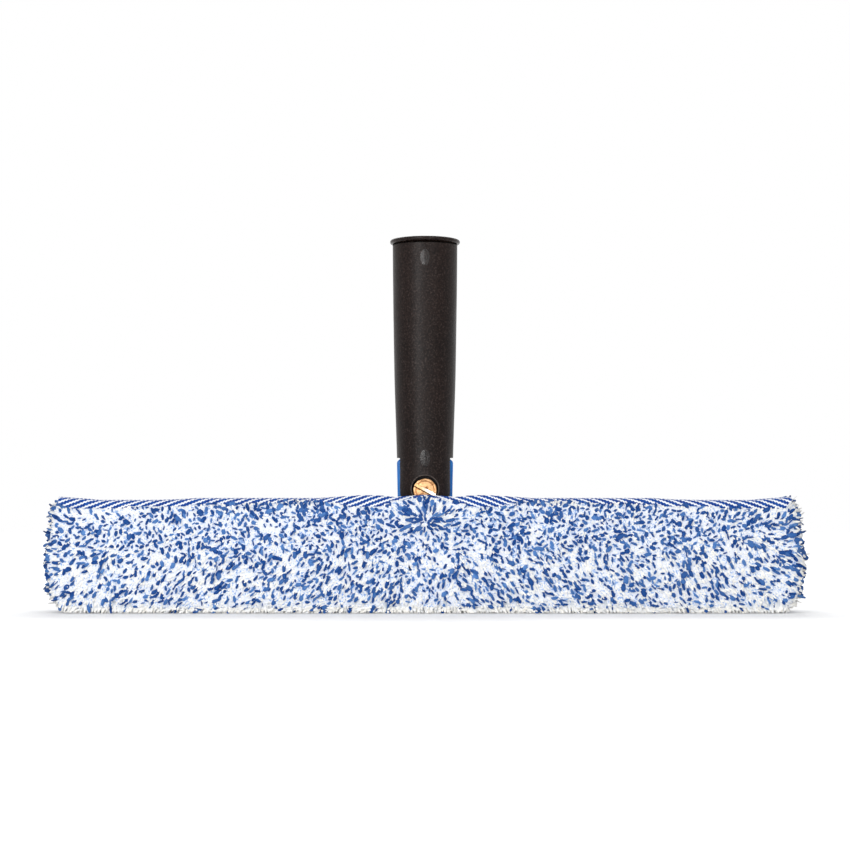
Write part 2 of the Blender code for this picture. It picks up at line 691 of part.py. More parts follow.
def make_hem_thread(model, side, mat):
    """The stitching line along a lip of the opening, on its outer face."""
    name = "hem_thread_front" if side < 0 else "hem_thread_rear"
    off = (BAND_THICK / 2.0 + GAP + THREAD_RADIUS) / MM
    points = []
    for i in range(HEM_STITCHES + 1):
        x = mix(-SHUT_HALF, SHUT_HALF, i / HEM_STITCHES)
        line = band_line(x)
        here = line[9]
        along = (line[10] - line[8]).normalized()
        outward = Vector((-along.y, along.x))
        place = here + outward * off
        points.append((x, side * place.x * MM, place.y * MM))
    return model.settle(model.thread(name, points, mat))


def make_t_bar_group(model):
    blue = material("blue_plastic", BLUE_PLASTIC, 0.38)
    make_t_bar(model, blue)
    make_end_cap(model, -1, blue)
    make_end_cap(model, 1, blue)
    brass = material("bush_brass", BRASS, 0.35, 1.0)
    half = TONGUE_THICK / 2.0
    ring(model, "pivot_bush", BUSH_RADIUS, SHAFT_RADIUS + GAP, -half, half, brass)
    nylon = material("nylon", NYLON, 0.5)
    near = half + GAP
    far = near + FRICTION_WASHER_THICK
    ring(model, "friction_washer_front", FRICTION_WASHER_RADIUS, SHAFT_HOLE, -far, -near, nylon)
    ring(model, "friction_washer_rear", FRICTION_WASHER_RADIUS, SHAFT_HOLE, near, far, nylon)


def make_handle_group(model):
    make_handle(model, material("black_plastic", BLACK_PLASTIC, 0.45))
    steel = material("steel", STEEL, 0.35, 1.0)
    near = COUNTERBORE_FLOOR + GAP
    ring(model, "head_washer", HEAD_RADIUS, SHAFT_HOLE, -near - HEAD_WASHER_THICK, -near, steel, 40)
    near = NUT_POCKET_FLOOR + GAP
    ring(model, "lock_washer", LOCK_WASHER_RADIUS, SHAFT_HOLE, near, near + LOCK_WASHER_THICK, steel, 40)
    make_hex_nut(model, steel)
    make_pivot_screw(model, material("brass", BRASS, 0.3, 1.0))


def make_sleeve_group(model):
    make_pile(model, material("pile", PILE_BLUE, 0.95))
    make_backing(model, material("backing", BACKING_WHITE, 0.9))
    woven = material("woven_band", BAND_BLUE, 0.85)
    make_band(model, -1, woven)
    make_band(model, 1, woven)
    first = BAR_LENGTH / 2.0 + GAP
    make_tape(model, "hook_tape", first, material("hook_tape", HOOK_GREY, 0.6))
    make_tape(model, "loop_tape", first + TAPE_THICK + GAP, material("loop_tape", LOOP_WHITE, 0.9))
    thread = material("thread", THREAD_WHITE, 0.7)
    for side in (-1, 1):
        make_top_seam(model, side, thread)
        make_bar_tack(model, side, thread)
        make_hem_thread(model, side, thread)


def main():
    clear_scene()
    model = Model()
    make_t_bar_group(model)
    make_handle_group(model)
    make_sleeve_group(model)
    for cutter in list(model.cutters.objects):
        bpy.data.objects.remove(cutter, do_unlink=True)


main()
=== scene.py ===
"""The looks of the window washer: pile, woven bands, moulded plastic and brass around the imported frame."""

import math

import bmesh
import bpy
import numpy as np
from mathutils import Matrix, Vector, kdtree, noise


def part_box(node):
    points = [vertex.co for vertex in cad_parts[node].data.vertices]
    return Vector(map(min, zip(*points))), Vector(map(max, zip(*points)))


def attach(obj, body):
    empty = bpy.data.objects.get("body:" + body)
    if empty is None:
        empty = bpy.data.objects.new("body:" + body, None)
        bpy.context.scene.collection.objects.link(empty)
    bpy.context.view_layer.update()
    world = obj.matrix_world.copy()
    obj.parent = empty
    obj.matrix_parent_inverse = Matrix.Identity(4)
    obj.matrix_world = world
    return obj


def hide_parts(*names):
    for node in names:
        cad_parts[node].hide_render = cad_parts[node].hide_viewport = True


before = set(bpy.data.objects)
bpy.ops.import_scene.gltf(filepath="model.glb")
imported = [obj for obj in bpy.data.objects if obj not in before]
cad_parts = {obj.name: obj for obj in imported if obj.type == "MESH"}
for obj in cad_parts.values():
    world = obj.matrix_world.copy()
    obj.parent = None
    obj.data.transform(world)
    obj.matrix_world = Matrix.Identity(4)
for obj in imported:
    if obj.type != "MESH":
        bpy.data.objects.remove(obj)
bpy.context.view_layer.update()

MM = 0.001
RNG = np.random.default_rng(14)

# Sizes that the frame's pieces have, in metres
PIVOT_Z = 58.5 * MM
SHOULDER_Z = 74.2 * MM
EAR_HALF = 12.0 * MM
EAR_INSIDE = 4.6 * MM
SLOT_RADIUS = 19.8 * MM
SHAFT_RADIUS = 3.0 * MM
SHAFT_HOLE = 3.4 * MM
COUNTERBORE_RADIUS = 6.35 * MM
COUNTERBORE_RISE = 0.55 * MM
COUNTERBORE_FLOOR = 7.4 * MM
NUT_POCKET_FLOOR = 7.4 * MM
NUT_ACROSS_FLATS = 10.0 * MM
RING_RADIUS = 4.35 * MM
SLOT_TILT = 28.0
SLOT_WIDTH = 2.0 * MM
SLOT_DEEP = 1.3 * MM
SLOT_MIDDLE = 9.4 * MM
HEAD_TOP = 11.2 * MM
HANDLE_TOP = 179.4 * MM
FLANGE_RADIUS = 16.85 * MM
FLANGE_THICK = 2.2 * MM
BORE_MOUTH = 13.2 * MM
BORE_FLOOR_RADIUS = 10.9 * MM
BORE_FLOOR = 84.0 * MM
TONGUE_RADIUS = 19.3 * MM
TONGUE_TOP_HALF = 13.5 * MM
TONGUE_FOOT_HALF = 13.1 * MM
TONGUE_THICK = 7.0 * MM
BUSH_HOLE = 4.9 * MM
BAR_HALF = 168.0 * MM
BAR_DEPTH = 14.0 * MM
BAR_BOTTOM = 10.0 * MM
BAR_TOP = 52.5 * MM
DIP_TOP = 44.5 * MM
DIP_HALF = 24.0 * MM
RAMP_HALF = 40.0 * MM
POCKET_WIDTH = 24.0 * MM
POCKET_PITCH = 27.5 * MM
POCKETS_A_SIDE = 5
FIRST_POCKET = 30.0 * MM
POCKET_RIM = 5.0 * MM
POCKET_ROUND = 3.0 * MM
TUFT_HALF = 179.4
BAND_HALF = 174.3 * MM
OPEN_HALF = 36.0
SHUT_HALF = 56.0

# Outer radius of the handle below its flange, from the top down: (height, radius)
HANDLE_TAPER = [
    (177.0 * MM, 15.6 * MM),
    (158.0 * MM, 15.45 * MM),
    (138.6 * MM, 15.2 * MM),
    (112.5 * MM, 14.75 * MM),
    (93.0 * MM, 14.15 * MM),
    (75.5 * MM, 13.6 * MM),
    (60.0 * MM, 13.3 * MM),
    (44.0 * MM, 13.1 * MM),
]

# Middle line of a selvage band, in millimetres, from its inner edge out: (distance from the middle, height)
BAND_SHUT = [(0.75, 53.55), (5.0, 53.7), (10.5, 53.9), (14.6, 53.2), (16.1, 49.0)]
BAND_OPEN = [(14.45, 49.8), (14.4, 53.4), (15.6, 55.7), (17.3, 54.0), (18.6, 50.0)]
BAND_THICK = 1.2

# Height of the bands' upper outline along the sleeve: (distance from the middle, height) in millimetres
LIP_WAVE = [(0, 56.4), (7, 55.9), (14.5, 55.3), (21.7, 56.1), (29, 56.2), (36, 55.8), (43.5, 55.3),
            (51, 54.8), (109, 54.8), (118, 54.2), (130, 53.9), (156, 53.9), (162, 54.5), (170, 55.0),
            (176.3, 55.6)]

# Height up to which tufts cover the band's outer edge, in the same form
PILE_EDGE = [(0, 56.2), (8, 55.2), (16, 53.3), (20, 51.5), (24, 50.1), (30, 50.9), (36, 50.7), (43, 52.8),
             (50, 53.7), (58, 54.2), (66, 53.9), (76, 53.1), (104, 52.5), (120, 50.9), (132, 51.1),
             (144, 50.5), (176, 50.3)]

# Half of the tufts' outer outline in millimetres, from the top centre down to the foot
PILE_SHUT = [(0, 54.4), (9, 54.3), (15.2, 54.0), (18.4, 52.2), (20.4, 48.6), (21.0, 44.0)]
PILE_OPEN = [(0, 55.5), (9, 55.5), (17.4, 55.3), (19.9, 53.0), (21.1, 49.0), (21.5, 44.0)]
PILE_CENTRE = [(0, 56.5), (9, 56.5), (17.7, 56.4), (20.2, 54.2), (21.6, 50.0), (21.8, 44.0)]
PILE_FLANK = [(21.4, 36.0), (21.5, 26.0), (21.4, 15.0), (21.2, 7.5), (21.0, 2.2), (20.4, 0.35), (14.0, 0.25),
              (0.0, 0.25)]


def smoothstep(low, high, value):
    t = np.clip((np.asarray(value, float) - low) / (high - low), 0.0, 1.0)
    return t * t * (3.0 - 2.0 * t)


def mix(a, b, t):
    return a + (b - a) * t


def unit(vectors):
    """The vectors, each at length 1."""
    return vectors / np.maximum(np.linalg.norm(vectors, axis=-1, keepdims=True), 1e-9)


def spread(x_mm):
    """How far the bands are spread round the opening: 1 at its middle, 0 where they meet."""
    return 1.0 - float(smoothstep(OPEN_HALF, SHUT_HALF, abs(x_mm)))


def along(table, x_mm):
    places, heights = zip(*table)
    return np.interp(np.abs(x_mm), places, heights)


def smooth_curve(points, steps):
    """Points on a smooth curve through the given ones."""
    ends = [points[0]] + list(points) + [points[-1]]
    found = []
    for i in range(len(points) - 1):
        a, b, c, d = (np.asarray(p, float) for p in ends[i:i + 4])
        for k in range(steps):
            t = k / steps
            found.append(0.5 * (2 * b + (c - a) * t + (2 * a - 5 * b + 4 * c - d) * t * t
                                + (3 * b - a - 3 * c + d) * t ** 3))
    found.append(np.asarray(points[-1], float))
    return np.array(found)


def resampled(line, count):
    """The line with count points, evenly spaced along it."""
    lengths = np.concatenate([[0.0], np.cumsum(np.linalg.norm(np.diff(line, axis=0), axis=1))])
    wanted = np.linspace(0.0, lengths[-1], count)
    return np.stack([np.interp(wanted, lengths, line[:, k]) for k in range(line.shape[1])], axis=1)


def srgb(red, green, blue):
    """A colour given as it looks on screen, 0 to 255, in the renderer's own numbers."""
    return tuple(c / 12.92 if c <= 0.04045 else ((c + 0.055) / 1.055) ** 2.4
                 for c in (red / 255.0, green / 255.0, blue / 255.0))


class Paint:
    """A material, and short ways to add nodes to it. Three numbers for a colour run from 0 to 255."""

    def __init__(self, name, roughness, metallic=0.0):
        self.mat = bpy.data.materials.new(name)
        self.mat.use_nodes = True
        self.tree = self.mat.node_tree
        self.shader = self.tree.nodes["Principled BSDF"]
        self.set("Roughness", roughness)
        self.set("Metallic", metallic)

    def set(self, socket, value):
        """Sets what is the same all over the surface."""
        self.shader.inputs[socket].default_value = value

    def node(self, kind, **settings):
        made = self.tree.nodes.new(kind)
        for key, value in settings.items():
            setattr(made, key, value)
        return made

    def feed(self, socket, value):
        if isinstance(value, bpy.types.NodeSocket):
            self.tree.links.new(value, socket)
        elif socket.type == "RGBA":
            socket.default_value = (*srgb(*value), 1.0)
        else:
            socket.default_value = value

    def place(self):
        return self.node("ShaderNodeTexCoord").outputs["Object"]

    def attribute(self, name, output="Fac"):
        return self.node("ShaderNodeAttribute", attribute_name=name).outputs[output]

    def scaled(self, factors):
        """The place on the object, stretched along each axis."""
        made = self.node("ShaderNodeMapping")
        self.feed(made.inputs["Vector"], self.place())
        made.inputs["Scale"].default_value = factors
        return made.outputs["Vector"]

    def noise(self, scale, detail=2.0, rough=0.5, vector=None):
        made = self.node("ShaderNodeTexNoise")
        self.feed(made.inputs["Vector"], self.place() if vector is None else vector)
        made.inputs["Scale"].default_value = scale
        made.inputs["Detail"].default_value = detail
        made.inputs["Roughness"].default_value = rough
        return made.outputs["Fac"]

    def math(self, operation, first, second=0.0):
        made = self.node("ShaderNodeMath", operation=operation)
        self.feed(made.inputs[0], first)
        self.feed(made.inputs[1], second)
        return made.outputs[0]

    def vector(self, operation, first, second=(0.0, 0.0, 0.0)):
        made = self.node("ShaderNodeVectorMath", operation=operation)
        self.feed(made.inputs[0], first)
        self.feed(made.inputs[1], second)
        return made.outputs["Value" if operation == "LENGTH" else "Vector"]

    def total(self, *terms):
        """The sum of the terms, each a value or a pair of a value and its weight."""
        found = None
        for term in terms:
            value = self.math("MULTIPLY", *term) if isinstance(term, tuple) else term
            found = value if found is None else self.math("ADD", found, value)
        return found

    def between(self, value, low, high, to_low=0.0, to_high=1.0):
        made = self.node("ShaderNodeMapRange", interpolation_type="SMOOTHSTEP")
        self.feed(made.inputs["Value"], value)
        for key, number in (("From Min", low), ("From Max", high), ("To Min", to_low), ("To Max", to_high)):
            made.inputs[key].default_value = number
        return made.outputs["Result"]

    def blend(self, factor, first, second):
        made = self.node("ShaderNodeMix", data_type="RGBA", blend_type="MIX")
        self.feed(made.inputs[0], factor)
        self.feed(made.inputs[6], first)
        self.feed(made.inputs[7], second)
        return made.outputs[2]

    def fade(self, value, low, high, first, second, most=1.0):
        """From the first colour, where the value is low, towards the second, the most where it is high."""
        return self.blend(self.between(value, low, high, 0.0, most), first, second)

    def colour(self, value):
        self.feed(self.shader.inputs["Base Color"], value)

    def rough(self, value):
        self.feed(self.shader.inputs["Roughness"], value)

    def bump(self, height, distance, strength=1.0, bevel=0.0):
        """Small relief in the surface, over edges rounded to the bevel's radius."""
        made = self.node("ShaderNodeBump")
        made.inputs["Strength"].default_value = strength
        made.inputs["Distance"].default_value = distance
        self.feed(made.inputs["Height"], height)
        if bevel:
            edge = self.node("ShaderNodeBevel", samples=6)
            edge.inputs["Radius"].default_value = bevel
            self.feed(made.inputs["Normal"], edge.outputs["Normal"])
        self.feed(self.shader.inputs["Normal"], made.outputs["Normal"])


# Materials

def black_plastic(name="black_plastic", smoothest=0.33, dark=(18, 9, 7), light=(26, 16, 13), shine=0.12):
    """Moulded plastic with sink marks, fine specks and upright scuffs."""
    paint = Paint(name, 0.40)
    paint.set("Specular IOR Level", shine)
    cloud = paint.noise(55.0, 3.0, 0.55, paint.scaled((1.0, 1.0, 0.6)))
    sink = paint.noise(48.0, 1.0, 0.5, paint.scaled((0.8, 0.8, 1.3)))
    grain = paint.noise(950.0, 3.0, 0.65)
    speck = paint.noise(1250.0, 2.0, 0.6)
    scuff = paint.noise(420.0, 4.0, 0.7, paint.scaled((1.0, 1.0, 0.12)))
    base = paint.fade(cloud, 0.35, 0.68, dark, light)
    base = paint.fade(scuff, 0.60, 0.78, base, (56, 49, 46), 0.35)
    base = paint.fade(speck, 0.52, 0.70, base, (56, 47, 44), 0.65)
    base = paint.fade(speck, 0.48, 0.32, base, (4, 1, 1), 0.90)
    paint.colour(base)
    paint.rough(paint.between(paint.total(cloud, (scuff, 0.5)), 0.5, 1.1, smoothest, smoothest + 0.14))
    paint.bump(paint.total((grain, 0.80), (sink, 3.2), (cloud, 0.5)), 0.30 * MM, 0.6, 0.35 * MM)
    return paint.mat


def blue_plastic():
    """Moulded plastic that lets a little light in."""
    paint = Paint("blue_plastic", 0.34)
    cloud = paint.noise(70.0, 3.0)
    grain = paint.noise(1900.0, 2.0)
    paint.colour(paint.fade(cloud, 0.3, 0.7, (18, 96, 170), (34, 116, 192)))
    paint.rough(paint.between(cloud, 0.3, 0.7, 0.34, 0.48))
    paint.bump(grain, 0.06 * MM, 0.5, 0.4 * MM)
    paint.set("Subsurface Weight", 0.12)
    paint.set("Subsurface Radius", (0.6 * MM, 1.2 * MM, 3.0 * MM))
    paint.set("Specular IOR Level", 0.18)
    return paint.mat


def brass():
    """Turned brass: tool rings round the pivot, a ring groove with painted shade, and a driver's slot with a
    painted highlight on its floor and a painted shadow along its lower wall.
    """
    paint = Paint("brass", 0.30, 1.0)
    cloud = paint.noise(420.0, 4.0, 0.6)
    away = paint.vector("SUBTRACT", paint.place(), (0.0, 0.0, PIVOT_Z))
    radius = paint.vector("LENGTH", paint.vector("MULTIPLY", away, (1.0, 0.0, 1.0)))
    turning = paint.math("SINE", paint.math("MULTIPLY", radius, 2.0 * math.pi / (0.45 * MM)))
    base = paint.fade(cloud, 0.34, 0.62, (104, 68, 38), (200, 158, 116))
    base = paint.fade(turning, -1.0, 1.0, base, (180, 132, 88), 0.30)
    # Painted shade: the colour darkens in the ring groove of the face.
    groove = paint.math("ABSOLUTE", paint.math("SUBTRACT", radius, RING_RADIUS))
    base = paint.fade(groove, 0.55 * MM, 0.15 * MM, base, (104, 66, 34), 0.75)
    axes = paint.node("ShaderNodeSeparateXYZ")
    paint.feed(axes.inputs[0], away)
    x, y, z = axes.outputs
    depth = paint.math("ABSOLUTE", paint.math("ADD", y, SLOT_MIDDLE))
    in_slot = paint.between(depth, 1.55 * MM, 1.35 * MM)
    tilt = math.radians(SLOT_TILT)
    across = paint.total((x, math.sin(tilt)), (z, math.cos(tilt)))
    # Painted light in the slot: the floor turns lighter towards +X as a painted highlight, and darker along
    # the lower wall as a painted shadow.
    floor = paint.fade(x, -3.0 * MM, 3.5 * MM, (176, 140, 98), (240, 226, 206))
    floor = paint.fade(across, -0.75 * MM, -0.15 * MM, (40, 20, 6), floor)
    paint.colour(paint.blend(in_slot, base, floor))
    paint.rough(paint.between(cloud, 0.3, 0.7, 0.24, 0.44))
    paint.bump(paint.total((turning, 0.12), (cloud, 1.1)), 0.12 * MM, 0.7, 0.25 * MM)
    return paint.mat


def steel():
    paint = Paint("steel", 0.34, 1.0)
    cloud = paint.noise(600.0, 4.0, 0.6)
    paint.colour(paint.fade(cloud, 0.35, 0.7, (176, 178, 180), (208, 209, 210)))
    paint.rough(paint.between(cloud, 0.3, 0.7, 0.26, 0.46))
    paint.bump(cloud, 0.03 * MM, 0.5, 0.2 * MM)
    return paint.mat


def nylon():
    paint = Paint("nylon", 0.45)
    cloud = paint.noise(500.0, 3.0)
    paint.colour(paint.fade(cloud, 0.3, 0.7, (222, 219, 208), (238, 236, 228)))
    paint.rough(paint.between(cloud, 0.3, 0.7, 0.38, 0.52))
    paint.bump(cloud, 0.03 * MM, 0.4)
    return paint.mat


def woven_band():
    """Twill of blue and white yarn, worked out from the cloth's own millimetres, lengthwise and upward."""
    paint = Paint("woven_band", 0.85)
    lengthwise = paint.math("ABSOLUTE", paint.attribute("cloth_u"))
    waver = paint.math("MULTIPLY", paint.math("SUBTRACT", paint.noise(90.0, 1.0), 0.5), 0.9)
    climb = paint.total((lengthwise, TWILL_RISE), paint.attribute("cloth_v"), waver)
    phase = paint.math("DIVIDE", climb, TWILL_PITCH)
    row = paint.math("FLOOR", paint.math("ADD", phase, 0.5))
    stripe = paint.math("COSINE", paint.math("MULTIPLY", phase, 2.0 * math.pi))
    step = paint.total(paint.math("DIVIDE", lengthwise, BEAD_PITCH), (row, 0.37))
    bead = paint.math("COSINE", paint.math("MULTIPLY", step, 2.0 * math.pi))
    fleck = paint.noise(1100.0, 3.0, 0.6)
    edge = paint.total(stripe, (bead, 0.45), (paint.math("SUBTRACT", fleck, 0.5), 0.8))
    gap = paint.between(bead, -0.45, -0.95)
    blue = paint.fade(fleck, 0.35, 0.65, (8, 46, 124), (30, 82, 160))
    blue = paint.blend(paint.math("MULTIPLY", gap, 0.12), blue, (120, 150, 206))
    white = paint.fade(fleck, 0.35, 0.65, (232, 236, 246), (253, 251, 247))
    # Painted shade: between the yarn floats the white turns grey-blue.
    white = paint.blend(paint.math("MULTIPLY", gap, 0.4), white, (190, 204, 232))
    paint.colour(paint.fade(edge, -0.56, -0.12, white, blue))
    height = paint.math("SUBTRACT", paint.math("ABSOLUTE", stripe), paint.math("MULTIPLY", gap, 0.8))
    paint.bump(paint.total(height, (fleck, 0.5)), 0.28 * MM, 0.8)
    paint.set("Specular IOR Level", 0.15)
    return paint.mat


def tuft_paint(name, dark, light, tip, foot, sheen):
    """Microfibre yarn: tone is a tuft's own shade, and reach runs from its foot to its tip; the foot colour
    mixes both yarns, and on white yarn it is also painted shade.
    """
    paint = Paint(name, 0.88)
    reach = paint.attribute("reach")
    fibre = paint.noise(3.2, 2.0, 0.6, paint.attribute("streak", "Vector"))
    base = paint.blend(paint.attribute("tone"), dark, light)
    base = paint.fade(fibre, 0.40, 0.70, base, tip, 0.75)
    base = paint.fade(reach, 0.55, 1.0, base, tip, 0.4)
    # Towards the foot: a mix of both yarns, and on white yarn darker and bluer as painted shade between the
    # tufts.
    base = paint.fade(reach, 0.70, 0.35, base, foot, 0.6)
    paint.colour(base)
    paint.bump(fibre, 0.45 * MM, 0.7)
    paint.set("Specular IOR Level", 0.1)
    paint.set("Sheen Weight", sheen)
    paint.set("Sheen Roughness", 0.5)
    return paint.mat


def ground_paint():
    """The shaded foot of the pile, where both yarns mix."""
    paint = Paint("pile_ground", 0.95)
    fleck = paint.noise(1100.0, 2.0, 0.6)
    patch = paint.noise(160.0, 2.0, 0.6)
    value = paint.total((fleck, 0.7), (patch, 0.3))
    paint.colour(paint.fade(value, 0.52, 0.60, (219, 223, 232), (130, 163, 211)))
    paint.bump(fleck, 0.6 * MM, 0.8)
    return paint.mat


def ground_cloth_paint():
    """The plain weave that the tufts are knotted through."""
    paint = Paint("ground_cloth", 0.9)
    place = paint.place()
    warp = paint.node("ShaderNodeTexWave", wave_type="BANDS", bands_direction="X")
    weft = paint.node("ShaderNodeTexWave", wave_type="BANDS", bands_direction="Z")
    for made in (warp, weft):
        paint.feed(made.inputs["Vector"], place)
        made.inputs["Scale"].default_value = 260.0
        made.inputs["Distortion"].default_value = 0.6
    weave = paint.math("MULTIPLY", warp.outputs["Fac"], weft.outputs["Fac"])
    # Painted shade: darker and bluer between the crossing threads.
    paint.colour(paint.fade(weave, 0.1, 0.6, (186, 194, 216), (232, 233, 240)))
    paint.bump(weave, 0.3 * MM, 0.7)
    return paint.mat


def thread_paint():
    paint = Paint("thread", 0.6)
    twist = paint.noise(1700.0, 2.0, 0.5, paint.scaled((1.0, 1.0, 2.0)))
    paint.colour(paint.fade(twist, 0.4, 0.6, (222, 222, 230), (250, 250, 250)))
    paint.bump(twist, 0.12 * MM, 0.7)
    return paint.mat


def tape_paint(name, dark, light, distance):
    """Hook or loop tape, darker between its hooks as painted shade."""
    paint = Paint(name, 0.8)
    hooks = paint.node("ShaderNodeTexVoronoi")
    paint.feed(hooks.inputs["Vector"], paint.place())
    hooks.inputs["Scale"].default_value = 900.0
    # Painted shade: the colour darkens away from each hook.
    paint.colour(paint.fade(hooks.outputs["Distance"], 0.1, 0.6, light, dark))
    paint.bump(hooks.outputs["Distance"], distance, 0.9)
    return paint.mat


# Meshes

def linked(name, data):
    """A new object in the scene."""
    made = bpy.data.objects.new(name, data)
    bpy.context.scene.collection.objects.link(made)
    return made


def cover(made, *mats):
    """Gives the object these materials and no others."""
    made.data.materials.clear()
    for mat in mats:
        made.data.materials.append(mat)
    return made


def place_on(made, body, slot, *nodes):
    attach(made, body)
    if nodes:
        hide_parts(*nodes)
    return made


def mesh_of(name, bm):
    """The bmesh as a mesh."""
    mesh = bpy.data.meshes.new(name)
    bm.to_mesh(mesh)
    bm.free()
    return mesh


def mesh_from_arrays(name, points, faces):
    """A mesh from an array of points and a list of face arrays, each with one row a face."""
    mesh = bpy.data.meshes.new(name)
    mesh.vertices.add(len(points))
    mesh.vertices.foreach_set("co", np.ascontiguousarray(points, np.float32).ravel())
    corners = np.concatenate([block.ravel() for block in faces]).astype(np.int32)
    sizes = np.concatenate([np.full(len(block), block.shape[1]) for block in faces])
    starts = np.concatenate([[0], np.cumsum(sizes)[:-1]]).astype(np.int32)
    mesh.loops.add(len(corners))
    mesh.loops.foreach_set("vertex_index", corners)
    mesh.polygons.add(len(sizes))
    mesh.polygons.foreach_set("loop_start", starts)
    mesh.update(calc_edges=True)
    mesh.validate()
    return mesh


def cells(grid):
    """The four corners of every cell of a grid, in turn, each corner in a list over the cells."""
    corners = (grid[:-1, :-1], grid[:-1, 1:], grid[1:, 1:], grid[1:, :-1])
    return [corner.reshape(-1, *grid.shape[2:]) for corner in corners]


def slab(name, outer, inner, mirrored=False):
    """A closed sheet between two grids of points.

    Seen from outside, the outer grid's rows climb and run rightward, or leftward where it is mirrored.
    """
    index = np.arange(outer[..., 0].size).reshape(outer.shape[:2])
    top = np.stack(cells(index), axis=1)
    loop = np.concatenate([index[0, :], index[1:, -1], index[-1, -2::-1], index[-2:0:-1, 0]])
    following = np.roll(loop, -1)
    rim = np.stack([following, loop, loop + index.size, following + index.size], axis=1)
    points = np.concatenate([outer.reshape(-1, 3), inner.reshape(-1, 3)])
    faces = np.concatenate([top, top[:, ::-1] + index.size, rim])
    return mesh_from_arrays(name, points, [faces[:, ::-1] if mirrored else faces])


def point_values(mesh, name, values):
    made = mesh.attributes.new(name, "FLOAT", "POINT")
    made.data.foreach_set("value", np.ascontiguousarray(values, np.float32).ravel())


def evaluated_mesh(made):
    bpy.context.view_layer.update()
    graph = bpy.context.evaluated_depsgraph_get()
    return bpy.data.meshes.new_from_object(made.evaluated_get(graph))


MERGE = 0.01 * MM


def turned(name, profile, steps):
    """A profile of (radius, height) points turned about Z."""
    mesh = bpy.data.meshes.new(name)
    mesh.from_pydata([(r, 0.0, h) for r, h in profile], [(i, i + 1) for i in range(len(profile) - 1)], [])
    made = linked(name, mesh)
    screw = made.modifiers.new("turn", "SCREW")
    screw.steps = steps
    screw.render_steps = steps
    screw.use_merge_vertices = True
    screw.merge_threshold = MERGE
    made.data = evaluated_mesh(made)
    made.modifiers.clear()
    bm = bmesh.new()
    bm.from_mesh(made.data)
    bmesh.ops.recalc_face_normals(bm, faces=bm.faces)
    bm.to_mesh(made.data)
    bm.free()
    return made


def drawn(name, lines, closed, **settings):
    """The mesh of a curve with straight runs through the given points."""
    curve = bpy.data.curves.new(name, "CURVE")
    for key, value in settings.items():
        setattr(curve, key, value)
    for line in lines:
        spline = curve.splines.new("POLY")
        spline.points.add(len(line) - 1)
        for point, place in zip(spline.points, line):
            point.co = (*place, 1.0)
        spline.use_cyclic_u = closed
    made = linked(name, curve)
    mesh = evaluated_mesh(made)
    bpy.data.objects.remove(made)
    return mesh


def along_y(low_y, high_y, height=0.0):
    """Lays what was made about Z along Y, its middle midway between two depths."""
    return Matrix.Translation((0.0, (low_y + high_y) / 2.0, height)) @ Matrix.Rotation(math.pi / 2.0, 4, "X")


def plate(name, outlines, low_y, high_y, bevel=0.0):
    """Flat outlines in X and Z, the later ones holes in the first, as thick as low_y to high_y."""
    flat = [[(x, z, 0.0) for x, z in outline] for outline in outlines]
    mesh = drawn(name, flat, True, dimensions="2D", fill_mode="BOTH", extrude=(high_y - low_y) / 2.0 - bevel,
                 bevel_depth=bevel, bevel_resolution=2, offset=-bevel)
    bm = bmesh.new()
    bm.from_mesh(mesh)
    bmesh.ops.remove_doubles(bm, verts=bm.verts, dist=MERGE)
    bmesh.ops.recalc_face_normals(bm, faces=bm.faces)
    bm.transform(along_y(low_y, high_y))
    bm.to_mesh(mesh)
    bm.free()
    return linked(name, mesh)


def rod(name, radius, low_y, high_y, height, segments):
    """A round bar along Y, or a six-sided one for a nut."""
    bm = bmesh.new()
    bmesh.ops.create_cone(bm, cap_ends=True, segments=segments, radius1=radius, radius2=radius,
                          depth=high_y - low_y, matrix=along_y(low_y, high_y, height))
    return linked(name, mesh_of(name, bm))


def combine(target, tool, operation="DIFFERENCE"):
    """Applies one Boolean step and removes its tool."""
    step = target.modifiers.new(tool.name, "BOOLEAN")
    step.operation = operation
    step.object = tool
    step.solver = "EXACT"
    mesh = evaluated_mesh(target)
    target.modifiers.clear()
    target.data = mesh
    bpy.data.objects.remove(tool)


def shade_round(made, angle=32.0):
    made.data.shade_smooth()
    made.data.set_sharp_from_angle(angle=math.radians(angle))


def arc(centre, radius, start_deg, end_deg, steps):
    """Points on an arc, anticlockwise where the end is the larger angle."""
    found = []
    for i in range(steps + 1):
        angle = math.radians(mix(start_deg, end_deg, i / steps))
        found.append((centre[0] + radius * math.cos(angle), centre[1] + radius * math.sin(angle)))
    return found


# The handle

def handle_profile():
    """Half of the handle's section, from the bore's floor up, over the flange and down the outside."""
    under = HANDLE_TOP - FLANGE_THICK
    floor_round = 0.8 * MM
    bore = [(0.0, BORE_FLOOR), (BORE_FLOOR_RADIUS - floor_round, BORE_FLOOR)]
    bore += arc((BORE_FLOOR_RADIUS - floor_round, BORE_FLOOR + floor_round), floor_round, -80.0, 0.0, 4)
    lip_round = 0.6 * MM
    lip = arc((BORE_MOUTH + lip_round, HANDLE_TOP - lip_round), lip_round, 180.0, 95.0, 5)
    rim_round = FLANGE_THICK / 2.0 - 0.05 * MM
    rim = arc((FLANGE_RADIUS - rim_round, (HANDLE_TOP + under) / 2.0), rim_round, 88.0, -88.0, 14)
    line = smooth_curve([(r, h) for h, r in HANDLE_TAPER], 6)
    neck = line[0][0]
    groove = [(neck - sunk * MM, under - drop * MM)
              for sunk, drop in ((0.35, 0.0), (0.45, 0.25), (0.35, 0.5), (0.0, 0.8))]
    outside = [tuple(point) for point in line]
    return bore + lip + rim + groove + outside + [(0.0, line[-1][1])]


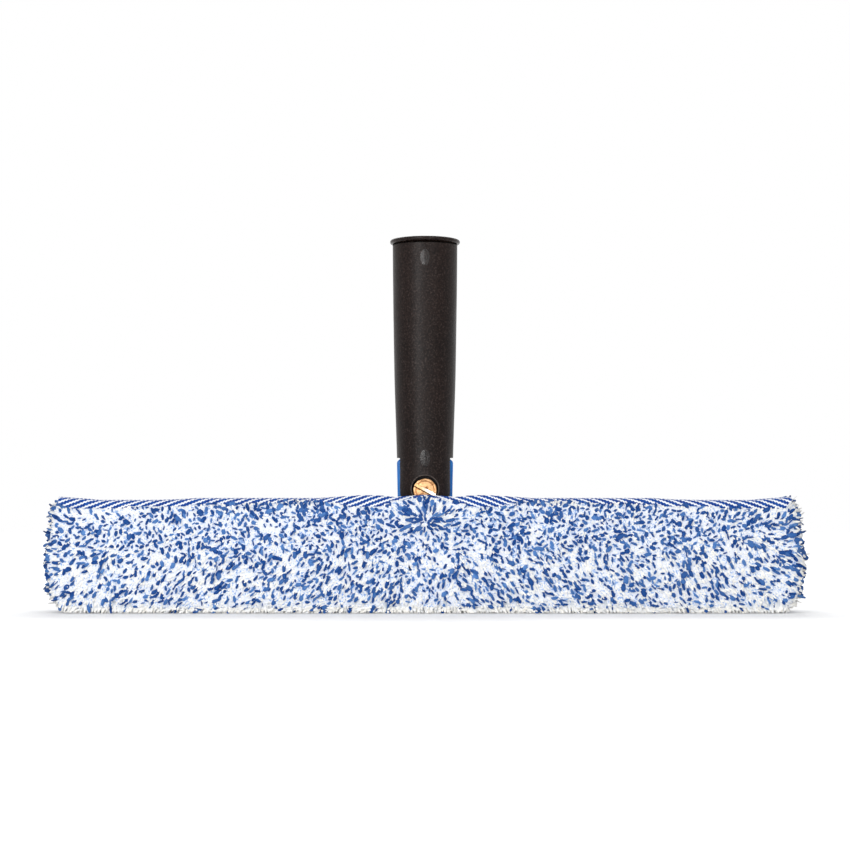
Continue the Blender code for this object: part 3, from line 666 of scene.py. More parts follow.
def crest(name, height, width, tall, proud):
    """A small raised oval on the front of the handle: two flat facets that meet in an upright crest."""
    taper = smooth_curve(HANDLE_TAPER, 6)[::-1]
    thick = 0.9 * MM
    skirt = 0.02 * MM
    u, v = np.meshgrid(np.linspace(-1.0, 1.0, 17), np.linspace(-1.0, 1.0, 25))
    x = u * (width / 2.0 * np.sqrt(1.0 - np.abs(v) ** 1.7) + skirt)
    z = height + v * tall / 2.0
    surface = np.sqrt(np.interp(z, *taper.T) ** 2 - x ** 2)
    rise = proud * (1.0 - np.abs(u)) ** 1.8 * np.sqrt(1.0 - np.abs(v) ** 4)
    front = np.stack([x, skirt - surface - rise, z], axis=2)
    return linked(name, slab(name, front, front + [0.0, thick, 0.0]))


# Raised ovals on the handle's front: (name, height, width, length, how far each stands out)
CRESTS = [
    ("upper_crest", 169.2 * MM, 6.4 * MM, 8.2 * MM, 0.18 * MM),
    ("lower_crest", 73.7 * MM, 6.0 * MM, 8.6 * MM, 0.34 * MM),
]


def make_handle(mat):
    handle = turned("handle_grip", handle_profile(), 180)
    far = 25.0 * MM
    low = 38.0 * MM
    ear = arc((0.0, PIVOT_Z), EAR_HALF, 180.0, 360.0, 64)
    fillet = 0.5 * MM
    left_corner = arc((-EAR_HALF - fillet, SHOULDER_Z - fillet), fillet, 90.0, 0.0, 5)
    right_corner = arc((EAR_HALF + fillet, SHOULDER_Z - fillet), fillet, 180.0, 90.0, 5)
    trim = ([(-far, SHOULDER_Z)] + left_corner + ear + right_corner
            + [(far, SHOULDER_Z), (far, low), (-far, low)])
    combine(handle, plate("ear_trim", [trim], -far, far))
    slot = [(SLOT_RADIUS, low)] + arc((0.0, PIVOT_Z), SLOT_RADIUS, 0.0, 180.0, 90) + [(-SLOT_RADIUS, low)]
    combine(handle, plate("fork_slot", [slot], -EAR_INSIDE, EAR_INSIDE))
    bore_z = PIVOT_Z + COUNTERBORE_RISE
    combine(handle, rod("counterbore", COUNTERBORE_RADIUS, -far, -COUNTERBORE_FLOOR, bore_z, 96))
    combine(handle, rod("shaft_hole", SHAFT_HOLE, -far, far, PIVOT_Z, 64))
    nut_play = 0.3 * MM
    nut_radius = (NUT_ACROSS_FLATS / 2.0 + nut_play) / math.cos(math.pi / 6.0)
    combine(handle, rod("nut_pocket", nut_radius, NUT_POCKET_FLOOR, far, PIVOT_Z, 6))
    cover(handle, mat, black_plastic("polished_plastic", 0.18, (20, 12, 10), (30, 21, 18), 0.12))
    flange_foot = HANDLE_TOP - FLANGE_THICK - 0.05 * MM
    flange_inside = BORE_MOUTH + 1.0 * MM
    for face in handle.data.polygons:
        x, y, z = face.center
        face.material_index = int(z > flange_foot and math.hypot(x, y) > flange_inside)
    shade_round(handle, 30.0)
    place_on(handle, "handle", "black_plastic", "handle")
    glossy = black_plastic("glossy_plastic", 0.22, (14, 8, 6), (22, 14, 12), 0.26)
    for name, *sizes in CRESTS:
        made = cover(crest(name, *sizes), glossy)
        shade_round(made, 24.0)
        place_on(made, "handle", "black_plastic", "handle")


def make_counterbore_rim():
    """The raised bead round the counterbore's mouth, which follows the ear's round face; its light grey
    colour is a painted highlight.
    """
    radius = COUNTERBORE_RADIUS + 0.25 * MM
    bead = 0.26 * MM
    face = 13.28 * MM
    around, tube = (2.0 * np.pi * np.arange(steps) / steps for steps in (120, 10))
    a, b = np.meshgrid(around, tube, indexing="ij")
    out = radius + bead * np.cos(b)
    y = -np.sqrt(face ** 2 - (radius * np.cos(a)) ** 2) - bead * 0.8 * np.sin(b)
    points = np.stack([out * np.cos(a), y, PIVOT_Z + COUNTERBORE_RISE + out * np.sin(a)], axis=2)
    index = np.pad(np.arange(a.size).reshape(a.shape), (0, 1), mode="wrap")
    mesh = mesh_from_arrays("counterbore_rim", points.reshape(-1, 3), [np.stack(cells(index), axis=1)])
    # Light grey plastic on the bead: a painted highlight.
    rim_highlight = black_plastic("rim_highlight_plastic", 0.33, (70, 62, 58), (96, 88, 83))
    made = cover(linked("counterbore_rim", mesh), rim_highlight)
    made.data.shade_smooth()
    place_on(made, "handle", "black_plastic", "handle")


# The screw and the blue mouldings

def screw_profile(radius):
    """Half of the screw's section: a crowned face with a ring groove, the head, the thread and the tail."""
    head_thick = 2.4 * MM
    edge = 0.45 * MM
    tail = -12.0 * MM
    point = 0.7 * MM
    face = ((-RING_RADIUS, 0.10), (-0.7 * MM, 0.06), (-0.2 * MM, -0.10), (0.15 * MM, -0.06))
    profile = [(RING_RADIUS + offset, HEAD_TOP + rise * MM) for offset, rise in face]
    profile += arc((radius - edge, HEAD_TOP - edge), edge, 84.0, 0.0, 6)
    profile += [(radius, HEAD_TOP - head_thick), (SHAFT_RADIUS, HEAD_TOP - head_thick)]
    pitch = 1.0 * MM
    thread_deep = 0.45 * MM
    turns = 14
    for i in range(turns):
        z = tail + 0.8 * MM + (turns - 1 - i) * pitch
        profile += [(SHAFT_RADIUS, z + 0.75 * pitch), (SHAFT_RADIUS - thread_deep, z + 0.38 * pitch),
                    (SHAFT_RADIUS, z + 0.05 * pitch)]
    return profile + [(SHAFT_RADIUS - point, tail), (0.0, tail)]


def make_screw(mat):
    radius = 5.65 * MM
    screw = turned("screw_look", screw_profile(radius), 96)
    place = (Matrix.Translation((0.0, 0.0, HEAD_TOP)) @ Matrix.Rotation(-math.radians(SLOT_TILT), 4, "Z")
             @ Matrix.Diagonal((2.6 * radius, SLOT_WIDTH, 2.0 * SLOT_DEEP, 1.0)))
    bm = bmesh.new()
    bmesh.ops.create_cube(bm, size=1.0, matrix=place)
    combine(screw, linked("driver_slot", mesh_of("driver_slot", bm)))
    screw.data.transform(along_y(0.0, 0.0, PIVOT_Z))
    cover(screw, mat)
    shade_round(screw, 30.0)
    place_on(screw, "screw", "brass", "pivot_screw")


def make_nut(mat):
    """A hexagon nut with chamfered corners and a threaded hole."""
    low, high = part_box("hex_nut")
    nut = rod("nut_look", NUT_ACROSS_FLATS / 2.0 / math.cos(math.pi / 6.0), low.y, high.y, PIVOT_Z, 6)
    thick = high.y - low.y
    wide = NUT_ACROSS_FLATS / 2.0 + 0.15 * MM
    drop = 0.75 * MM
    pitch = 0.8 * MM
    mouth = SHAFT_RADIUS + 0.6 * MM
    profile = [(mouth, 0.0), (wide, 0.0), (wide + 2.0 * drop, drop), (wide + 2.0 * drop, thick - drop),
               (wide, thick), (mouth, thick)]
    for i in range(int(thick / pitch)):
        top = thick - 0.2 * MM - i * pitch
        profile += [(SHAFT_RADIUS + 0.2 * MM, top - 0.2 * pitch)]
        profile += [(SHAFT_RADIUS + 0.5 * MM, top - 0.6 * pitch)]
    core = turned("nut_core", profile + profile[:1], 72)
    core.data.transform(Matrix.Translation((0.0, low.y, PIVOT_Z)) @ Matrix.Rotation(-math.pi / 2.0, 4, "X"))
    combine(nut, core, "INTERSECT")
    cover(nut, mat)
    shade_round(nut, 30.0)
    place_on(nut, "handle", "steel", "hex_nut")


def rounded_window(low, high, radius):
    """A rectangle with round corners, anticlockwise from its upper right corner."""
    right, left = high[0] - radius, low[0] + radius
    upper, lower = high[1] - radius, low[1] + radius
    points = []
    for x, z, start in ((right, upper, 0), (left, upper, 90), (left, lower, 180), (right, lower, 270)):
        points += arc((x, z), radius, start, start + 90, 8)
    return points


def bar_outlines():
    """The cross bar with the dip round the tongue, and the pockets that hold water."""
    top = [(BAR_HALF, BAR_TOP), (RAMP_HALF + 2.0 * MM, BAR_TOP), (RAMP_HALF - 1.0 * MM, BAR_TOP - 0.5 * MM)]
    top += [(DIP_HALF + 1.0 * MM, DIP_TOP + 0.5 * MM), (DIP_HALF - 2.0 * MM, DIP_TOP)]
    outer = [(BAR_HALF, BAR_BOTTOM)] + top + [(-x, z) for x, z in reversed(top)] + [(-BAR_HALF, BAR_BOTTOM)]
    outlines = [outer]
    for side in (-1, 1):
        for i in range(POCKETS_A_SIDE):
            middle = side * (FIRST_POCKET + i * POCKET_PITCH)
            high = BAR_TOP - POCKET_RIM if i else DIP_TOP - POCKET_RIM + 0.5 * MM
            outlines.append(rounded_window((middle - POCKET_WIDTH / 2.0, BAR_BOTTOM + POCKET_RIM),
                                           (middle + POCKET_WIDTH / 2.0, high), POCKET_ROUND))
    return outlines


def tongue_outline():
    """The tongue: a round head on a stem that flares into the cross bar."""
    corner = math.degrees(math.acos(TONGUE_TOP_HALF / TONGUE_RADIUS)) + 1.2
    head = arc((0.0, PIVOT_Z), TONGUE_RADIUS, corner, 180.0 - corner, 60)
    flare = 6.5 * MM
    right = [(TONGUE_FOOT_HALF + flare, DIP_TOP - 1.5 * MM)]
    right += arc((TONGUE_FOOT_HALF + flare, DIP_TOP + flare), flare, 270.0, 180.0, 16)
    right += [(TONGUE_TOP_HALF, head[0][1] - 0.9 * MM)]
    return right + head + [(-x, z) for x, z in reversed(right)]


def make_mouldings(mat):
    hole = arc((0.0, PIVOT_Z), BUSH_HOLE, 352.5, 0.0, 47)
    mouldings = [
        ("bar_moulding", bar_outlines(), BAR_DEPTH, 0.7 * MM),
        ("tongue_moulding", [tongue_outline(), hole], TONGUE_THICK, 0.45 * MM),
    ]
    for name, outlines, thick, bevel in mouldings:
        made = cover(plate(name, outlines, -thick / 2.0, thick / 2.0, bevel), mat)
        shade_round(made, 35.0)
        place_on(made, "bar", "blue_plastic", "t_bar")


# The woven bands

TWILL_RISE = 0.40
TWILL_PITCH = 2.4
BEAD_PITCH = 1.45
RELIEF = 0.35
HEM_SHARE = 0.35
BAND_STEPS = 560
BAND_ACROSS = 26


def band_line(x_mm):
    """The band's middle line at x, from its inner edge out, in millimetres."""
    t = spread(x_mm)
    line = [(mix(a[0], b[0], t), mix(a[1], b[1], t)) for a, b in zip(BAND_SHUT, BAND_OPEN)]
    edge_y = line[0][0]
    line[0] = (edge_y, mix(BAND_SHUT[0][1], BAND_OPEN[0][1], float(smoothstep(9.0, BAND_OPEN[0][0], edge_y))))
    curve = smooth_curve(line, 12)
    lift = along(LIP_WAVE, x_mm) - (curve[:, 1].max() + BAND_THICK / 2.0)
    near_top = smoothstep(49.5, 53.0, curve[:, 1])
    curve[:, 1] += lift * near_top
    return resampled(curve, BAND_ACROSS)


def make_band(side, mat):
    """One band as a closed cloth with raised twill ribs on its outer face."""
    name = "band_cloth_front" if side < 0 else "band_cloth_rear"
    places = np.linspace(-BAND_HALF / MM, BAND_HALF / MM, BAND_STEPS)
    lines = np.array([band_line(x) for x in places])
    tangent = unit(np.gradient(lines, axis=1))
    normal = np.stack([-tangent[..., 1], tangent[..., 0]], axis=2)
    across = np.concatenate([np.zeros((BAND_STEPS, 1)),
                             np.cumsum(np.linalg.norm(np.diff(lines, axis=1), axis=2), axis=1)], axis=1)
    u = np.repeat(places[:, None], BAND_ACROSS, axis=1)
    upward = across[:, -1:] - across
    phase = (upward + TWILL_RISE * np.abs(u)) / TWILL_PITCH
    relief = RELIEF * np.sqrt(np.abs(np.cos(2.0 * np.pi * phase)))
    edge = np.minimum(across, across[:, -1:] - across)
    fade = np.maximum(smoothstep(0.0, 0.7, edge)[..., None], HEM_SHARE)
    outer = lines + normal * ((BAND_THICK / 2.0 - RELIEF) + relief[..., None]) * fade
    inner = lines - normal * (BAND_THICK / 2.0) * fade
    grids = []
    for surface in (outer, inner):
        grids.append(np.stack([u, side * surface[..., 0], surface[..., 1]], axis=2) * MM)
    mesh = slab(name, *grids, mirrored=side > 0)
    for word, values in (("cloth_u", u), ("cloth_v", upward)):
        point_values(mesh, word, np.concatenate([values.ravel()] * 2))
    made = cover(linked(name, mesh), mat)
    mesh.shade_smooth()
    node = "selvage_band_front" if side < 0 else "selvage_band_rear"
    place_on(made, "bar", "woven_band", node)


# Threads

THREAD_RADIUS = 0.26 * MM
STITCH_RISE, STITCH_SINK = 0.20, 0.55
HEM_STITCH, HEM_PITCH = 2.8, 4.2


# Rows of slanting stitches, in millimetres: (start, end, half the width, pitch)
SEAM_ROW = (64.0, 172.0, 1.9, 1.8)
TACK_ROW = (57.0, 62.0, 3.4, 0.62)


def thread_piece(name, lines, mat, node):
    """Stitches as round threads along lines of points in millimetres."""
    mesh = drawn(name, [np.asarray(line) * MM for line in lines], False, dimensions="3D",
                 bevel_depth=THREAD_RADIUS, bevel_resolution=2, use_fill_caps=True)
    made = cover(linked(name, mesh), mat)
    mesh.shade_smooth()
    place_on(made, "bar", "thread", node)


def band_top(x_mm):
    """Height of the bands' upper face near the seam."""
    return band_line(x_mm)[2, 1] + BAND_THICK / 2.0


def zigzag(side, start, end, half, pitch):
    """Separate slanting stitches across the seam, each dipping into the cloth at its ends."""
    lines = []
    for i in range(int((end - start) / pitch)):
        line = []
        for t in np.linspace(0.0, 1.0, 9):
            x = start + (i + 0.9 * t) * pitch
            across = 2.0 * t - 1.0
            rise = STITCH_RISE - STITCH_SINK * abs(across) ** 6
            line.append((side * x, half * across * (1.0 if i % 2 else -1.0), band_top(x) + rise))
        lines.append(line)
    return lines


def hem_stitches(side):
    """Running stitches along a lip of the opening, on the face that looks into it."""
    lines = []
    for start in np.arange(-SHUT_HALF + 1.0, SHUT_HALF - 3.0, HEM_PITCH):
        line = []
        for t in np.linspace(0.0, 1.0, 7):
            x = start + HEM_STITCH * t
            band = band_line(x)
            tangent = unit(band[8] - band[6])
            rise = BAND_THICK / 2.0 + 0.12 - 0.5 * abs(2.0 * t - 1.0) ** 6
            place = band[7] + np.array([-tangent[1], tangent[0]]) * rise
            line.append((x, side * place[0], place[1]))
        lines.append(line)
    return lines


def make_threads(mat):
    for side, word in ((-1, "left"), (1, "right")):
        thread_piece("seam_stitches_" + word, zigzag(side, *SEAM_ROW), mat, "top_seam_thread_" + word)
        thread_piece("tack_stitches_" + word, zigzag(side, *TACK_ROW), mat, "bar_tack_" + word)
    for side, word in ((-1, "front"), (1, "rear")):
        thread_piece("hem_stitches_" + word, hem_stitches(side), mat, "hem_thread_" + word)


# The pile

# Distances in millimetres, except where MM is written; CANDIDATES and SOFTNESS are plain numbers
WHITE_SPACING = 1.06
BLUE_SPACING = 1.85
WHITE_FROM_BLUE = 1.05
CANDIDATES = 4.0
SOFTNESS = 0.6
GROUND_DEPTH = 2.2
FAN_Z = 43.0
GROUND_THICK = 1.2 * MM
CORE_Z = 27.0
END_ROUND = 6.0
END_FROM = (148.0, 38.0)
OPEN_Y, OPEN_Z = 14.0, 45.0
END_START = 174.5
GROUND_END = 174.0
MIDDLE_HALF = 62.0

# A tuft is a bent tube whose rings crowd towards its tip. TUFT_SWELL is its thickness along it, as shares of
# its length and shares of its radius; FLOOR_GAP is how near the floor it may come
TUFT_SIDES, TUFT_RINGS = 5, 4
RING_CROWDING = 0.62
TUFT_SWELL = ([0.0, 0.45, 0.90, 1.0], [0.72, 1.0, 0.96, 0.55])
LEANING_SHARE, UPRIGHT_SHARE = 0.55, 0.45
TUFT_BREADTH = 1.15
TIP_HEIGHT = 0.28
FLOOR_GAP = 0.06
TWIST_CHANCE, SWELL_CHANCE = 0.35, 0.10

# Sizes of the tufts in millimetres, flatness as thickness over breadth, and by how much chance changes them
TUFT_LENGTHS = (5.8, 7.6)
BLUE_RADIUS, BLUE_CHANCE = 1.33, 0.24
BLUE_RADII, BLUE_FLATNESS = (0.70, 1.9), (0.36, 0.78)
WHITE_RADII, WHITE_FLATNESS = (0.58, 0.92), (0.48, 0.85)

# Both ends of the sleeve: how far tufts stand in or out, and the share pulled out, how far and how thin
END_CHANCE, END_MOST = 0.7, (-1.0, 1.6)
PULLED_SHARE, PULLED_BY, PULLED_THIN = 0.10, (0.5, 3.2), 0.45

# How strongly blue yarn is left out: at the foot, low on the flank, in the fan, near the ends, by the seams
FOOT_PALE, FLANK_PALE, FAN_PALE, END_PALE, SEAM_PALE = 0.75, 0.62, 0.45, 0.24, 0.5
BLUE_SHARE = 0.92


def end_bulge(points):
    """How far both ends of the sleeve swell outwards at half height and draw in above and below."""
    x, z = points[..., 0], points[..., 2]
    swell = 2.4 * np.exp(-((z - 24.0) / 13.0) ** 2) - 1.4 - 3.0 * smoothstep(10.0, 1.0, z)
    return np.sign(x) * smoothstep(168.0, 178.0, np.abs(x)) * swell


def envelope():
    """The tufts' outer surface as a grid of points, in millimetres, with its outward normals."""
    shoulder = TUFT_HALF - END_ROUND
    turn = np.radians(np.linspace(0.0, 90.0, 7))
    stations = [(x, 0.0) for x in np.arange(0.0, shoulder, 1.5)]
    stations += [(shoulder + END_ROUND * math.sin(a), END_ROUND * (1 - math.cos(a))) for a in turn]
    stations += [(TUFT_HALF + 0.02 * inset, inset) for inset in np.linspace(7.5, 25.5, 13)]
    rows = []
    for x, inset in stations:
        crown = mix(np.array(PILE_SHUT, float), np.array(PILE_OPEN, float), spread(x))
        crown = mix(crown, np.array(PILE_CENTRE, float), 1.0 - float(smoothstep(6.0, 27.0, abs(x))))
        half = resampled(smooth_curve([tuple(point) for point in crown] + PILE_FLANK, 6), 70)
        squeeze = 1.0 - inset / CORE_Z
        half = np.stack([half[:, 0] * squeeze, CORE_Z + (half[:, 1] - CORE_Z) * squeeze], axis=1)
        ring = np.concatenate([half, (half * [-1, 1])[-2:0:-1]])
        rows.append(np.column_stack([np.full(len(ring), x), ring]))
    right = np.array(rows)
    left = right[:0:-1] * [-1, 1, 1]
    grid = np.concatenate([left, right])
    grid[..., 0] += end_bulge(grid)
    closed = np.concatenate([grid, grid[:, :1]], axis=1)
    lengthwise = np.gradient(closed, axis=0)
    around = np.gradient(closed, axis=1)
    normal = unit(np.cross(around, lengthwise))
    outward = closed - [0.0, 0.0, CORE_Z]
    outward[..., 0] = np.where(np.abs(closed[..., 0]) > shoulder, closed[..., 0], 0.0)
    flip = np.sign((normal * outward).sum(axis=2, keepdims=True))
    return closed, normal * np.where(flip == 0, 1.0, flip)


def tree_of(points):
    """The points, sorted for finding near ones."""
    tree = kdtree.KDTree(len(points))
    for i, point in enumerate(points):
        tree.insert(point, i)
    tree.balance()
    return tree


def scattered(grid, normals, spacing):
    """Points spread evenly over the grid by area, none closer together than the spacing."""
    a, b, c, d = cells(grid)
    area = 0.5 * np.linalg.norm(np.cross(c - a, d - b), axis=1)
    total = int(area.sum() / spacing ** 2 * CANDIDATES)
    chosen = RNG.choice(len(area), size=total, p=area / area.sum())
    s, t = RNG.random((2, total, 1))

    def blended(values):
        w, x, y, z = (corner[chosen] for corner in cells(values))
        return (w * (1 - s) + x * s) * (1 - t) + (z * (1 - s) + y * s) * t

    points, outward = blended(grid), unit(blended(normals))
    tree = tree_of(points)
    free = np.ones(total, bool)
    kept = []
    for i in range(total):
        if not free[i]:
            continue
        kept.append(i)
        for _, j, _ in tree.find_range(points[i], spacing):
            free[j] = False
    return points[kept], outward[kept]


def flow_noise(points, size, seed):
    """A smooth field of vectors over the points, with swirls of about the given size in millimetres."""
    shifts = [Vector((seed * 7.3 + 31.7 * k, seed * 3.1, seed * 5.7)) for k in range(3)]
    return np.array([[noise.noise(Vector(p) / size + shift) for shift in shifts] for p in points])


def fan_share(points):
    """How much a tuft belongs to the fan at the middle of the opening."""
    away = np.hypot(points[:, 0], 1.2 * (points[:, 2] - FAN_Z))
    return smoothstep(24.0, 9.0, away) * smoothstep(1.5, 5.0, away) * smoothstep(35.0, 42.0, points[:, 2])


def comb(points, outward):
    """The way each tuft leans: down and outwards, in a burst at both ends and in a fan at the middle."""
    x, y, z = points.T
    side = np.sign(x) * smoothstep(2.0, 30.0, np.abs(x))
    low = smoothstep(40.0, 14.0, z)
    lean = np.zeros_like(points)
    lean[:, 0] = side * (0.15 + 0.45 * low)
    lean[:, 2] = -0.15 - 0.60 * low * smoothstep(0.0, 9.0, z) + 0.40 * smoothstep(44.0, 50.0, z)
    away = np.sign(x) * np.maximum(np.abs(x) - END_FROM[0], 1.0)
    burst = unit(np.stack([away, np.zeros_like(x), z - END_FROM[1]], axis=1))
    lean = mix(lean, burst * 0.95, smoothstep(138.0, 174.0, np.abs(x))[:, None])
    fan = unit(np.stack([x, np.zeros_like(x), z - FAN_Z], axis=1))
    lean = mix(lean, fan * 1.6, fan_share(points)[:, None])
    swirl = 0.55 + 0.45 * smoothstep(130.0, 165.0, np.abs(x))
    lean += swirl[:, None] * flow_noise(points, size=8.0, seed=1) + 0.30 * RNG.normal(size=points.shape)
    lean -= outward * (lean * outward).sum(axis=1, keepdims=True)
    return lean


def strand_faces(count, each):
    """The sides of every tuft, the cone over its last ring, and its foot."""
    sides = TUFT_SIDES
    last = (TUFT_RINGS - 1) * sides
    start = (np.arange(count) * each)[:, None, None, None]
    i = np.arange(0, last, sides)[:, None]
    k = np.arange(sides)[None, :]
    m = (k + 1) % sides
    quad = np.stack([i + k, i + m, i + sides + m, i + sides + k], axis=2)[None]
    cone = np.stack([last + k[0], last + m[0], np.full(sides, each - 1)], axis=1)[None]
    foot = np.arange(sides)[::-1][None]
    return [(quad + start).reshape(-1, 4), (cone + start[:, :, 0]).reshape(-1, 3),
            (foot + start[:, 0, 0]).reshape(-1, sides)]


def strands(name, tips, outward, lean, length, radius, flat, tone, mat):
    """Curved, tapering tufts of yarn, each from a root deep in the pile to its tip, as one mesh."""
    count, sides, rings = len(tips), TUFT_SIDES, TUFT_RINGS
    bend = tips - unit(outward + lean) * length[:, None] * LEANING_SHARE
    root = bend - outward * length[:, None] * UPRIGHT_SHARE
    t = (np.linspace(0.0, 1.0, rings) ** RING_CROWDING)[None, :, None]
    line = (1 - t) ** 2 * root[:, None] + 2 * t * (1 - t) * bend[:, None] + t ** 2 * tips[:, None]
    tangent = unit(2 * (1 - t) * (bend - root)[:, None] + 2 * t * (tips - bend)[:, None])
    helper = (lean + TWIST_CHANCE * RNG.normal(size=(count, 3)))[:, None]
    second = unit(np.cross(tangent, helper))
    first = np.cross(second, tangent)
    swell = np.interp(t[0, :, 0], *TUFT_SWELL)
    angle = 2.0 * np.pi * np.arange(sides) / sides
    ring = (first[:, :, None] * np.cos(angle)[None, None, :, None] * TUFT_BREADTH
            + second[:, :, None] * np.sin(angle)[None, None, :, None] * flat[:, None, None, None])
    wide = radius[:, None, None, None] * swell[None, :, None, None]
    wobble = 1.0 + SWELL_CHANCE * RNG.normal(size=(count, rings, sides, 1))
    tube = line[:, :, None] + ring * wide * wobble
    cap = tips + tangent[:, -1] * (radius * TIP_HEIGHT)[:, None]
    each = rings * sides + 1
    points = np.concatenate([tube.reshape(count, -1, 3), cap[:, None]], axis=1).reshape(-1, 3)
    points[:, 2] = np.maximum(points[:, 2], FLOOR_GAP)
    mesh = mesh_from_arrays(name, points * MM, strand_faces(count, each))
    reach = np.concatenate([np.repeat(t[0, :, 0], sides), [1.0]])
    point_values(mesh, "reach", np.tile(reach, count))
    point_values(mesh, "tone", np.repeat(tone, each))
    streak = np.zeros((count, each, 3), np.float32)
    streak[:, :-1, 0] = np.tile(np.cos(angle), rings)
    streak[:, :-1, 1] = np.tile(np.sin(angle), rings)
    streak[:, :, 2] = reach * 0.6 + 9.0 * np.arange(count)[:, None]
    made = mesh.attributes.new("streak", "FLOAT_VECTOR", "POINT")
    made.data.foreach_set("vector", streak.ravel())
    mesh.shade_smooth()
    soften(mesh, np.repeat(outward, each, axis=0))
    return cover(linked(name, mesh), mat)


def soften(mesh, outward):
    """Turns the shading normals part of the way outward, as light spreads through fine fibres."""
    own = np.empty(len(mesh.vertices) * 3, np.float32)
    mesh.vertices.foreach_get("normal", own)
    places = np.empty(len(own), np.float32)
    mesh.vertices.foreach_get("co", places)
    least = 0.15 + 0.40 * smoothstep(12.0 * MM, 3.0 * MM, places[2::3])
    lifted = np.column_stack([outward[:, :2], np.maximum(outward[:, 2], least)])
    blended = unit(own.reshape(-1, 3) * (1.0 - SOFTNESS) + lifted * SOFTNESS)
    mesh.normals_split_custom_set_from_vertices(blended.tolist())


def region_of(points):
    """Splits the sleeve into front and rear, left, middle and right, so that no piece grows too large."""
    third = np.digitize(points[:, 0], [-MIDDLE_HALF, MIDDLE_HALF])
    return third + 3 * (points[:, 1] > 0)


REGIONS = ["front_left", "front_middle", "front_right", "rear_left", "rear_middle", "rear_right"]


def by_the_bands(x, y, z, margin=0.0):
    """Which places lie on the bands, or less than the margin below their edge, or in the opening."""
    return (z > along(PILE_EDGE, x) - margin) | ((np.abs(y) < OPEN_Y) & (z > OPEN_Z))


def off_the_bands(points, outward):
    """Leaves out the tufts that would stand on the bands or in the opening."""
    keep = ~by_the_bands(*points.T) | (np.abs(points[:, 0]) > END_START)
    return points[keep], outward[keep]


def apart_from(points, others, distance):
    """Which points lie farther than the distance from all the others."""
    tree = tree_of(others)
    return np.array([tree.find(place)[2] > distance for place in points])


def ragged(points, outward):
    """Moves the tufts of both ends a little in and out, and pulls a few of them far out."""
    x = points[:, 0]
    share = smoothstep(168.0, 176.0, np.abs(x))
    moved = points.copy()
    moved[:, 0] += np.sign(x) * share * np.clip(END_CHANCE * RNG.normal(size=len(x)), *END_MOST)
    pulled = (share > 0.9) & (RNG.random(len(x)) < PULLED_SHARE)
    moved[pulled] += outward[pulled] * RNG.uniform(*PULLED_BY, (pulled.sum(), 1))
    return moved, np.where(pulled, PULLED_THIN, 1.0)


def paleness(points):
    """How strongly blue yarn is left out at each point."""
    far, z = np.abs(points[:, 0]), points[:, 2]
    flank = FOOT_PALE * smoothstep(4.0, 1.0, z) + FLANK_PALE * smoothstep(42.0, 20.0, z)
    ends = END_PALE * smoothstep(130.0, 160.0, far) * smoothstep(180.0, 176.0, far)
    seam = SEAM_PALE * smoothstep(44.0, 49.0, z) * smoothstep(100.0, 120.0, far)
    return flank + FAN_PALE * fan_share(points) + ends + seam


def blue_sizes(points, fan):
    """Radius, flatness and depth below the outer surface of each blue tuft."""
    count = len(points)
    small = 1.0 - 0.20 * smoothstep(8.0, 2.0, points[:, 2])
    radius = np.clip(BLUE_RADIUS * np.exp(BLUE_CHANCE * RNG.normal(size=count)), *BLUE_RADII) * small
    return radius, RNG.uniform(*BLUE_FLATNESS, count), RNG.uniform(-0.5, 0.4, count)


def white_sizes(points, fan):
    """The same for each white tuft."""
    count = len(points)
    radius = RNG.uniform(*WHITE_RADII, count) * (1.0 - 0.2 * fan)
    flat = RNG.uniform(*WHITE_FLATNESS, count)
    return radius, flat, RNG.random(count) ** 1.6 * (0.2 + 1.0 * smoothstep(1.0, 5.0, points[:, 2]))


def make_tufts(word, points, outward, sizes, tone_power, mat):
    """All tufts of one yarn, as one piece for each region."""
    count = len(points)
    lean = comb(points, outward)
    fan = fan_share(points)
    length = RNG.uniform(*TUFT_LENGTHS, count) * (1.0 + 0.35 * fan)
    radius, flat, depth = sizes(points, fan)
    tips, thin = ragged(points - outward * depth[:, None], outward)
    tone = RNG.random(count) ** tone_power
    area = region_of(points)
    for number, place in enumerate(REGIONS):
        pick = area == number
        made = strands("tufts_%s_%s" % (word, place), tips[pick], outward[pick], lean[pick], length[pick],
                       (radius * thin)[pick], flat[pick], tone[pick], mat)
        place_on(made, "bar", "pile", "sleeve_pile")


def make_pile():
    grid, normals = envelope()
    make_pile_ground(grid, normals)
    blue, blue_out = off_the_bands(*scattered(grid, normals, BLUE_SPACING))
    patch = 0.3 * flow_noise(blue, size=9.0, seed=4)[:, 0] + 0.5 * RNG.normal(size=len(blue))
    keep = patch - paleness(blue) > -BLUE_SHARE
    blue, blue_out = blue[keep], blue_out[keep]
    white, white_out = off_the_bands(*scattered(grid, normals, WHITE_SPACING))
    keep = apart_from(white, blue, WHITE_FROM_BLUE)
    white, white_out = white[keep], white_out[keep]
    blue_yarn = tuft_paint("pile_blue", (4, 31, 90), (108, 152, 206), (41, 89, 159), (100, 145, 204), 0.02)
    # The white yarn's darker, bluer foot colour is painted shade.
    white_yarn = tuft_paint("pile_white", (212, 219, 229), (250, 247, 240), (252, 249, 242), (195, 205, 218),
                            0.12)
    make_tufts("blue", blue, blue_out, blue_sizes, 2.3, blue_yarn)
    make_tufts("white", white, white_out, white_sizes, 1.0, white_yarn)


